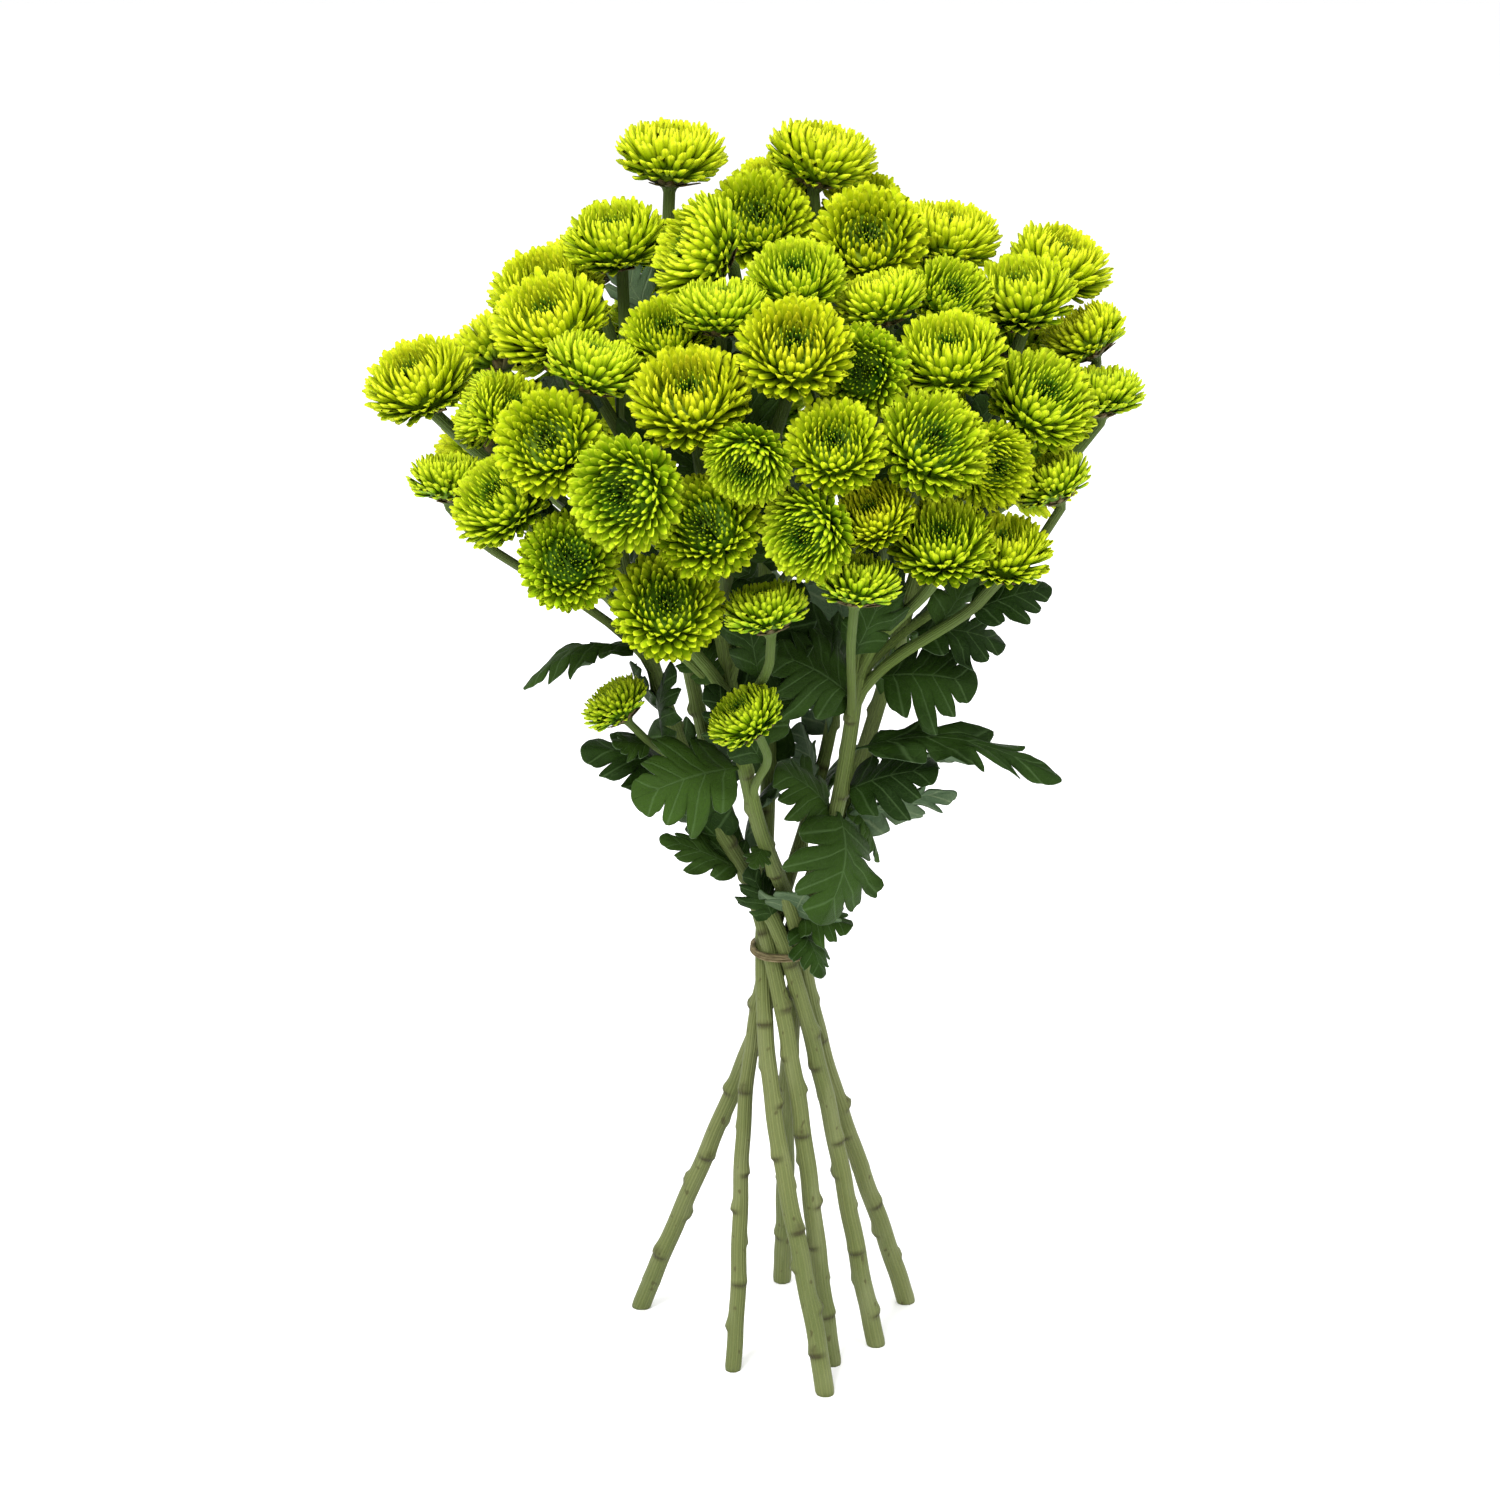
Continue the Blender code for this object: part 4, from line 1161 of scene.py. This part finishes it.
bract_patterns = [bract_pattern() for _ in range(BRACT_PATTERNS)]
print("bract faces:", [len(pattern.polygons) for pattern in bract_patterns])

# %% [markdown]
# ## Stems, stalks and cups together
#
# A solid stem node holds a whole spray, so the piece that replaces it does too: the main
# stem, and the stalk, cup and bracts of every bloom that it carries. The parts could be
# pieces of their own, but a spray is cut and tied as one.

# %% Greenery, one piece for each stem
for stem in STEMS:
    shape = bmesh.new()
    shape.verts.layers.float_color.new("stem")
    main_stem_into(shape, stem)
    for index, (name, (centre, axis, radius, _)) in enumerate(flower_places.items()):
        if homes[name] == stem:
            cup_into(shape, axis, radius, stalks[name])
            bracts = copy_into(shape, bract_patterns[index % BRACT_PATTERNS])
            place = standing(centre, axis) @ Matrix.Scale(radius, 4)
            bmesh.ops.transform(shape, matrix=place, verts=bracts)
    bmesh.ops.translate(shape, verts=shape.verts, vec=SHIFT)
    bmesh.ops.recalc_face_normals(shape, faces=shape.faces)
    mesh = mesh_from(shape, stem)
    add_piece(f"{stem}_stalks", mesh, STEM_FINISH, [stem])
    print(stem, len(mesh.polygons), "faces")

# %% [markdown]
# ## Finish of the leaves
#
# The upper side is a dull dark green, darkened further as painted shade for the inside of the
# bunch, with paler veins, and the underside a downy grey-green.
# A corner carries its place along the rib, its place between two bays, which tells where a
# side vein runs, and how far out it is. A layer of its own marks the underside and gives
# each leaf a number of its own, for the paler and yellower ones. A picture of veins would
# have to be fitted to each blade, but numbers on its corners bend with it.

# %% The leaf finish
def leaf_finish():
    """Dark above, partly as painted shade, and pale below, with a rib, side veins and a net of small
    veins.
    """
    made = Finish("chrysanthemum_leaf", Roughness=0.50, Specular_IOR_Level=0.07)
    _, lobe, out = made.painted("leaf")
    under, own, _ = made.painted("leaf_under")
    rib = 1.0 - out.between(0.012, 0.050)
    swing = made.math("FRACT", lobe * 4.0) - 0.5
    side_vein = 1.0 - (made.math("ABSOLUTE", swing) + out * 0.02).between(0.015, 0.060)
    web = made.node(
        "ShaderNodeTexVoronoi", {"feature": "DISTANCE_TO_EDGE"},
        {"Vector": made.joined(lobe * 26.0, out * 9.0, under), "Scale": 1.0},
    )
    small_vein = 1.0 - web.between(0.0, 0.10)
    veins = made.math("MINIMUM", rib + side_vein, 1.0)
    blotch = made.noise(made.place(), 60.0, 3.0)
    grain = made.noise(made.place(), 1500.0, 2.0)
    # the upper side's own dark green, darkened further as painted shade inside the bunch
    top = made.mix(blotch.between(0.35, 0.70), (0.008, 0.024, 0.002), (0.018, 0.046, 0.005))
    top = made.mix(own * own * 0.8, top, (0.045, 0.095, 0.012))
    top = made.mix(small_vein * 0.20, top, (0.045, 0.085, 0.022))
    top = made.mix(veins * 0.42, top, (0.085, 0.150, 0.050))
    back = made.mix(blotch.between(0.35, 0.70), (0.060, 0.105, 0.050), (0.100, 0.150, 0.078))
    back = made.mix(veins * 0.60 + small_vein * 0.15, back, (0.17, 0.23, 0.12))
    made.feed("Base Color", made.mix(under, top, back))
    made.feed("Roughness", 0.42 + 0.2 * blotch + 0.15 * under)
    made.relief(veins * -0.6 + small_vein * -0.25 + grain * 0.12, 0.0005, 0.8)
    return made.material


LEAF_FINISH = leaf_finish()
print("leaf finish ready")

# %% [markdown]
# ## The outline of a lobed leaf
#
# The blade is cut into three pairs of rounded lobes and an end lobe, toothed along their
# edges and pointing forward. A picture of a leaf on a flat sheet would look right only from
# one side, so the outline is worked out: a line through the bays between the lobes, and the
# edge of the lobes beyond it.

# %% Rows of a leaf
LEAF_STALK = 0.012
STALK_ROWS = 0.06
# the ends of the lobes: share of the rows, how far along and how far out the bay is
BAYS = (
    (0.10, 0.10, 0.018), (0.27, 0.37, 0.080), (0.47, 0.57, 0.085),
    (0.66, 0.75, 0.070), (0.90, 0.93, 0.0),
)
# each side lobe: degrees from the rib, length, fullness of its lower side
SIDE_LOBES = ((61.0, 0.205, 0.045), (52.0, 0.280, 0.044), (40.0, 0.180, 0.042))
TEETH = 3.0
TOOTH_DEPTH = 0.12
END_LOBE_WIDER = 1.1


def leaf_row(row, phase):
    """A row's share of the rib, its lobe, its point on the bays' line and its point on the edge."""
    if row < STALK_ROWS:
        along = row * BAYS[0][1] / STALK_ROWS
        return along, 0.0, (along, LEAF_STALK / 2), (along, LEAF_STALK)
    turn = (row - STALK_ROWS) / (1 - STALK_ROWS) * 4
    lobe = min(int(turn), 3)
    turn -= lobe
    (rib, low_along, low_out), (rib_end, high_along, high_out) = BAYS[lobe], BAYS[lobe + 1]
    ease = (1 - math.cos(math.pi * turn)) / 2
    along = low_along + (high_along - low_along) * ease
    out = low_out + (high_out - low_out) * ease
    rise = math.sin(math.pi * turn) ** (1.0 if turn < 0.5 else 1.2)
    tooth = 1 + TOOTH_DEPTH * (abs(math.sin(TEETH * math.pi * turn + phase)) - 0.6) * rise
    if lobe < 3:
        lean, length, full = SIDE_LOBES[lobe]
        lean = math.radians(lean)
        wide = full * math.sin(2 * math.pi * turn) * (1.0 if turn < 0.5 else -0.1)
        edge_along = along + length * rise * tooth * math.cos(lean) - wide * math.sin(lean)
        edge_out = out + length * rise * tooth * math.sin(lean) + wide * math.cos(lean)
    else:
        quarter = math.pi / 2 * turn
        edge_along = low_along + (1.0 - low_along) * math.sin(quarter) ** 1.15
        full = 1 + END_LOBE_WIDER * math.sin(math.pi * turn)
        edge_out = low_out * math.cos(quarter) ** 0.85 * full * tooth
    return rib + (rib_end - rib) * turn, (lobe + turn) / 4, (along, out), (edge_along, edge_out)


print("bays and lobes:", len(BAYS) - 1)

# %% [markdown]
# ## A leaf from a grid
#
# A flat grid is made once for each leaf and every corner is moved: a row of the grid runs
# from the rib to the line through the bays, and on from there to the edge, as the side veins
# do. The blade is then arched along the rib, folded a little along it and puffed between the
# veins. A thin sheet would have no underside of its own, so the grid is extruded to a lower
# skin, which gets the paler colour of the underside.

# %% Leaf blades
LEAF_GRID = (66, 10)
SMALL_LEAF_GRID = (24, 6)
LEAF_THICKNESS = 0.0006
LEAF_FACES_OUT = 1.2
INNER_BLADE = 0.4
WIDEST = 0.320
LEAF_FOLD = 0.30
LEAF_RIPPLE = 0.50
LEAF_PUFF = 0.008


def leaf_into(shape, base, tip, width, arch, roll, key, rows, columns):
    """Adds one leaf between its foot and its tip."""
    paint = shape.verts.layers.float_color["leaf"]
    under = shape.verts.layers.float_color["leaf_under"]
    along = tip - base
    length = along.length
    along.normalize()
    outward = Vector((base.x, base.y, 0.0)).normalized()
    side = along.cross(Vector((0, 0, 1)) + LEAF_FACES_OUT * outward).normalized()
    side = Matrix.Rotation(math.radians(roll), 3, along) @ side
    lift = side.cross(along).normalized()
    stretch = width / 2 / WIDEST
    own = random.random()
    made = bmesh.ops.create_grid(shape, x_segments=columns, y_segments=rows, size=0.5)["verts"]
    for corner in made:
        across, row = 2 * corner.co.x, corner.co.y + 0.5
        hand = 1 if across > 0 else -1
        rib, lobe, (bay_along, bay_out), (edge_along, edge_out) = leaf_row(row, key + hand)
        if abs(across) < INNER_BLADE:
            share = abs(across) / INNER_BLADE
            ahead, out = rib + (bay_along - rib) * share, bay_out * share
        else:
            share = (abs(across) - INNER_BLADE) / (1 - INNER_BLADE)
            ahead = bay_along + (edge_along - bay_along) * share
            out = bay_out + (edge_out - bay_out) * share
        half = hand * out * stretch
        ripple = noise.noise(Vector((ahead * 4 + key, hand * out * 8, key)))
        ripple = ripple * LEAF_RIPPLE * out * length
        puff = LEAF_PUFF * length * math.sin(8 * math.pi * lobe) ** 2
        puff *= math.sin(math.pi * min(1.0, abs(across)))
        bulge = arch * length * math.sin(math.pi * min(ahead, 1.0)) - LEAF_FOLD * abs(half)
        corner.co = base + along * (ahead * length) + side * half + lift * (bulge + ripple + puff)
        corner[paint] = (ahead, lobe, abs(across), 1.0)
        corner[under] = (0.0, own, 0.0, 1.0)
    sheet = [*made, *linked(made, "link_edges"), *linked(made, "link_faces")]
    copied = bmesh.ops.extrude_face_region(shape, geom=sheet, use_keep_orig=True)["geom"]
    lower = [part for part in copied if isinstance(part, bmesh.types.BMVert)]
    for corner in lower:
        corner.co -= LEAF_THICKNESS * lift
        corner[under] = (1.0, own, 0.0, 1.0)
    bmesh.ops.recalc_face_normals(shape, faces=linked([*made, *lower], "link_faces"))


print("leaf recipe ready")

# %% [markdown]
# ## The leaves in their places
#
# Each leaf that shows is set by two pixels: near its foot, which snaps to the stem or stalk
# that carries it, and at its tip. The far side's leaves are set by height, azimuth and rise.
# Inner leaves stand upright among the stems, and each flower stalk has one small leaf on
# its upper side. These close the gaps between the blooms. Leaves could be scattered by a
# rule alone, but the large ones give the bunch its outline, so each has a row of its own.

# %% Leaves that show
# the carrier, the foot's pixel, the tip's pixel, how far forward the tip comes, width, arch, roll
SEEN_LEAVES = (
    ("bloom_49", 622, 668, 523, 688, 0.012, 0.030, 0.20, 0.0),
    ("bloom_51", 655, 750, 612, 742, 0.004, 0.016, 0.05, 0.0),
    ("stem_g", 715, 772, 632, 800, 0.016, 0.044, 0.16, -10.0),
    ("stem_f", 722, 885, 660, 837, 0.010, 0.020, 0.06, 0.0),
    ("stem_f", 690, 712, 630, 662, 0.004, 0.028, 0.12, 15.0),
    ("stem_g", 738, 752, 762, 645, -0.014, 0.046, 0.08, 0.0),
    ("bloom_42", 850, 700, 772, 652, 0.012, 0.044, 0.12, -10.0),
    ("bloom_44", 900, 705, 978, 684, 0.006, 0.044, 0.12, 10.0),
    ("bloom_37", 950, 690, 1006, 645, -0.006, 0.030, 0.12, 0.0),
    ("stem_a", 880, 760, 980, 728, 0.000, 0.044, 0.10, 0.0),
    ("stem_c", 870, 752, 1062, 780, 0.020, 0.022, 0.19, 0.0),
    ("stem_c", 862, 800, 938, 768, 0.014, 0.036, 0.10, 10.0),
    ("stem_a", 862, 850, 957, 792, 0.008, 0.032, 0.10, 0.0),
    ("stem_c", 845, 805, 820, 925, 0.026, 0.050, 0.22, 0.0),
    ("stem_g", 790, 925, 822, 978, 0.018, 0.022, 0.12, 0.0),
    ("stem_g", 776, 925, 852, 926, 0.012, 0.024, 0.12, 0.0),
    ("stem_g", 766, 925, 806, 893, 0.020, 0.036, 0.10, 60.0),
    ("stem_f", 733, 880, 697, 828, -0.004, 0.026, 0.10, 10.0),
    ("bloom_47", 709, 690, 687, 634, -0.006, 0.022, 0.08, 0.0),
    ("stem_c", 828, 818, 776, 768, 0.006, 0.038, 0.12, 0.0),
    ("stem_b", 815, 800, 800, 722, -0.016, 0.042, 0.08, 0.0),
    ("stem_e", 752, 790, 722, 712, -0.006, 0.038, 0.10, 0.0),
    ("bloom_44", 985, 640, 1052, 588, -0.006, 0.024, 0.14, 0.0),
    ("stem_a", 872, 815, 880, 862, 0.010, 0.024, 0.10, 0.0),
    ("stem_a", 905, 715, 925, 628, -0.012, 0.040, 0.08, 0.0),
    ("stem_b", 790, 735, 805, 650, -0.014, 0.040, 0.08, 0.0),
    ("stem_g", 760, 845, 752, 868, 0.010, 0.012, 0.05, 0.0),
    ("stem_f", 765, 925, 748, 868, 0.012, 0.020, 0.08, 0.0),
)
print(len(SEEN_LEAVES), "leaves that show")

# %% Leaves on the far side and among the stems
# the stem, height, azimuth, rise, length and width
BACK_LEAVES = (
    ("stem_a", 0.232, 5.0, 30.0, 0.056, 0.040),
    ("stem_a", 0.305, 8.0, 28.0, 0.052, 0.038),
    ("stem_b", 0.226, 42.0, 28.0, 0.058, 0.042),
    ("stem_b", 0.285, 62.0, 34.0, 0.060, 0.044),
    ("stem_d", 0.240, 86.0, 30.0, 0.060, 0.042),
    ("stem_d", 0.300, 106.0, 30.0, 0.060, 0.042),
    ("stem_e", 0.228, 128.0, 30.0, 0.058, 0.040),
    ("stem_e", 0.290, 150.0, 32.0, 0.058, 0.042),
    ("stem_f", 0.246, 184.0, 26.0, 0.054, 0.038),
)
INNER_LEAVES = (
    ("stem_a", 0.310, 150.0, 62.0, 0.055, 0.042),
    ("stem_b", 0.300, 200.0, 60.0, 0.060, 0.044),
    ("stem_c", 0.285, 170.0, 60.0, 0.060, 0.042),
    ("stem_d", 0.320, 300.0, 65.0, 0.065, 0.042),
    ("stem_e", 0.300, 330.0, 62.0, 0.060, 0.044),
    ("stem_f", 0.310, 20.0, 62.0, 0.055, 0.042),
    ("stem_g", 0.290, 30.0, 62.0, 0.060, 0.042),
    ("stem_g", 0.315, 95.0, 50.0, 0.055, 0.044),
    ("stem_f", 0.325, 60.0, 55.0, 0.050, 0.042),
    ("stem_f", 0.225, 160.0, 55.0, 0.045, 0.036),
    ("stem_e", 0.215, 20.0, 60.0, 0.045, 0.034),
)
ARCH_BY_RULE = 0.16
# the length, width and arch of a small leaf, and the point of the stalk that it grows from
SMALL_LEAF = (0.042, 0.026, 0.10)
SMALL_LEAF_AT = 6
SMALL_LEAF_AHEAD, SMALL_LEAF_ASIDE = 0.75, 0.66
print(len(BACK_LEAVES), "leaves on the far side,", len(INNER_LEAVES), "among the stems")

# %% [markdown]
# ## From pixels to places
#
# A pixel is a line of sight. The foot of a leaf is the point of its stem or stalk that comes
# nearest to the line through the foot's pixel. The tip lies on its own pixel's line, as far
# in front of the foot as the table says.

# %% Feet and tips
def seen_at(across, down, y):
    """The point at depth y that shows at a pixel."""
    ray = sight_direction(across, down)
    return EYE + ray * ((y - EYE.y) / ray.y)


def nearest_to_sight(line, across, down):
    """The point of a line that shows nearest to a pixel."""
    sight = sight_direction(across, down).normalized()
    return min(line, key=lambda point: (point - EYE).cross(sight).length)


leaf_rows = []
for carrier, across, down, tip_across, tip_down, forward, width, arch, roll in SEEN_LEAVES:
    line = lines[carrier] if carrier in lines else stalks[carrier]
    foot = nearest_to_sight(line, across, down)
    tip = seen_at(tip_across, tip_down, foot.y - forward)
    leaf_rows.append((homes.get(carrier, carrier), foot, tip, width, arch, roll, *LEAF_GRID))
for carrier, height, turn, rise, length, width in BACK_LEAVES + INNER_LEAVES:
    foot = lines[carrier][nearest_place(lines[carrier], height)]
    tip = foot + length * direction_at(math.radians(turn), math.radians(rise))
    leaf_rows.append((carrier, foot, tip, width, ARCH_BY_RULE, 0.0, *LEAF_GRID))
print(len(leaf_rows), "leaves")
for index, (name, line) in enumerate(stalks.items()):
    foot = line[SMALL_LEAF_AT]
    ahead = (line[-1] - foot).normalized()
    above = (Vector((0, 0, 1)) - ahead.z * ahead).normalized()
    aside = Matrix.Rotation(math.sin(GOLDEN_ANGLE * index), 3, ahead) @ above
    length, width, arch = SMALL_LEAF
    tip = foot + length * (SMALL_LEAF_AHEAD * ahead + SMALL_LEAF_ASIDE * aside)
    leaf_rows.append((homes[name], foot, tip, width, arch, 0.0, *SMALL_LEAF_GRID))
print(len(stalks), "small leaves")

# %% [markdown]
# ## The leaves as pieces
#
# The leaves of a stem are one piece, because the solid stem node carries them too.

# %% Leaves, one piece for each stem
for stem in STEMS:
    shape = bmesh.new()
    shape.verts.layers.float_color.new("leaf")
    shape.verts.layers.float_color.new("leaf_under")
    for key, (carrier, foot, tip, width, arch, roll, rows, columns) in enumerate(leaf_rows):
        if carrier == stem:
            leaf_into(shape, foot, tip, width, arch, roll, 0.7 * key, rows, columns)
    bmesh.ops.translate(shape, verts=shape.verts, vec=SHIFT)
    mesh = mesh_from(shape, stem)
    if mesh.polygons:
        add_piece(f"{stem}_leaves", mesh, LEAF_FINISH, [stem])
    print(stem, len(mesh.polygons), "leaf faces")

# %% [markdown]
# ## The tie
#
# The bunch is held by three turns of raffia, a dry flat fibre, pulled tight. A curve with a
# flat section could be wound round the stems. Three bands spun round the waist are simpler,
# and a slow wobble keeps them from looking machined.

# %% Raffia tie
RAFFIA_TURNS = 3
RAFFIA_STEPS = 64
# a flat band's section: how far out from the stems and how far up
RAFFIA_BAND = ((0.0, 0.0), (0.0014, 0.0001), (0.0018, 0.0005), (0.0014, 0.0009), (0.0, 0.001))
RAFFIA_LOW, RAFFIA_RISE = -0.0015, 0.001
WOBBLE, DIP = 0.012, 0.0002


def raffia_finish():
    """Dull aged tan, darkened as painted shade at the waist, with dark fibres that run round the tie.
    """
    made = Finish("raffia", Roughness=0.8, Specular_IOR_Level=0.2)
    fibre = made.noise(made.place((1.0, 1.0, 14.0)), 260.0, 3.0)
    # aged raffia tan, darkened further as painted shade among the stems
    colour = made.mix(fibre.between(0.35, 0.70), (0.11, 0.09, 0.04), (0.26, 0.21, 0.11))
    made.feed("Base Color", colour)
    made.relief(fibre, 0.0003, 0.8)
    return made.material


def raffia_tie():
    """Three flat bands round the waist, wobbling a little."""
    shape = bmesh.new()
    inner = WAIST_RING + STEM_RADIUS + SEAT_GAP
    for turn in range(RAFFIA_TURNS):
        low = RAFFIA_LOW + RAFFIA_RISE * turn
        corners = [shape.verts.new((inner + out, 0.0, low + up)) for out, up in RAFFIA_BAND]
        edges = [shape.edges.new((corners[i - 1], corners[i])) for i in range(len(corners))]
        spin_round(shape, corners, edges, RAFFIA_STEPS)
    bmesh.ops.remove_doubles(shape, verts=shape.verts, dist=1e-7)
    bmesh.ops.recalc_face_normals(shape, faces=shape.faces)
    for corner in shape.verts:
        angle = math.atan2(corner.co.y, corner.co.x)
        corner.co *= 1 + WOBBLE * math.sin(5 * angle + 900 * corner.co.z)
        corner.co.z += DIP * math.sin(3 * angle)
    bmesh.ops.translate(shape, verts=shape.verts, vec=WAIST_CENTRE + SHIFT)
    return mesh_from(shape, "raffia")


add_piece("raffia_tie", raffia_tie(), raffia_finish(), ["tie"])
print("tie wound")

# %% [markdown]
# ## The floor and the light
#
# The photograph is a catalogue picture: white ground, soft light from above and in front,
# hardly any shadow. A pale floor, three large soft lamps and a bright surround give the same.
# Small lamps would be quicker to render, but their hard shadows would hide the florets.

# %% The floor
def floor():
    """A wide pale ground that isn't part of the bunch."""
    shape = bmesh.new()
    bmesh.ops.create_grid(shape, x_segments=1, y_segments=1, size=14.0)
    mesh = mesh_from(shape, "floor")
    made = Finish("pale_floor", Roughness=0.9)
    grain = made.noise(made.place(), 30.0, 2.0)
    made.feed("Base Color", made.mix(grain, (0.93, 0.93, 0.93), (0.95, 0.95, 0.95)))
    mesh.materials.append(made.material)
    ground = bpy.data.objects.new("floor", mesh)
    bpy.context.scene.collection.objects.link(ground)
    ground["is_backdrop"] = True


floor()
print("floor laid")

# %% The lamps and the surround
# each lamp's place, what it points at, its width in metres and its power in watts
LAMPS = {
    "key": ((-0.7, -1.1, 2.0), (0, 0, 0.38), 0.9, 43.0),
    "fill": ((1.2, -1.0, 1.6), (0, 0, 0.36), 1.2, 12.0),
    "back": ((0.3, 1.4, 1.6), (0, 0, 0.35), 1.0, 14.0),
}


def lamp(name, place, target, size, power):
    """A round soft lamp that points at a target."""
    light = bpy.data.lights.new(name, "AREA")
    light.shape = "DISK"
    light.size = size
    light.energy = power
    made = bpy.data.objects.new(name, light)
    made.location = place
    made.rotation_euler = (Vector(target) - Vector(place)).to_track_quat("-Z", "Y").to_euler()
    bpy.context.scene.collection.objects.link(made)


for name, row in LAMPS.items():
    lamp(name, *row)
world = bpy.context.scene.world or bpy.data.worlds.new("surround")
bpy.context.scene.world = world
world.use_nodes = True
world.node_tree.nodes["Background"].inputs["Color"].default_value = (1.0, 1.0, 1.0, 1.0)
world.node_tree.nodes["Background"].inputs["Strength"].default_value = 1.0
bpy.context.scene.view_settings.view_transform = "Standard"
print(len(LAMPS), "lamps")

# %% [markdown]
# ## The camera
#
# The camera stands where the lines of sight above start, so that each bloom falls where the
# photograph has it. Its lens follows from the width of a pixel.

# %% The camera
SENSOR = 36.0
eye = bpy.data.cameras.new("camera")
eye.sensor_width = SENSOR
eye.lens = SENSOR / (FRAME * PIXEL)
camera = bpy.data.objects.new("camera", eye)
camera.location = EYE + SHIFT
camera.rotation_euler = FORWARD.to_track_quat("-Z", "Y").to_euler()
bpy.context.scene.collection.objects.link(camera)
bpy.context.scene.camera = camera
print("camera at", [round(part, 3) for part in camera.location])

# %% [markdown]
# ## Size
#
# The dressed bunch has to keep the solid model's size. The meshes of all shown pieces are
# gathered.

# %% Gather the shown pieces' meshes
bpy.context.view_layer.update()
meshes = [piece.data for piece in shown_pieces() if piece.type == "MESH"]
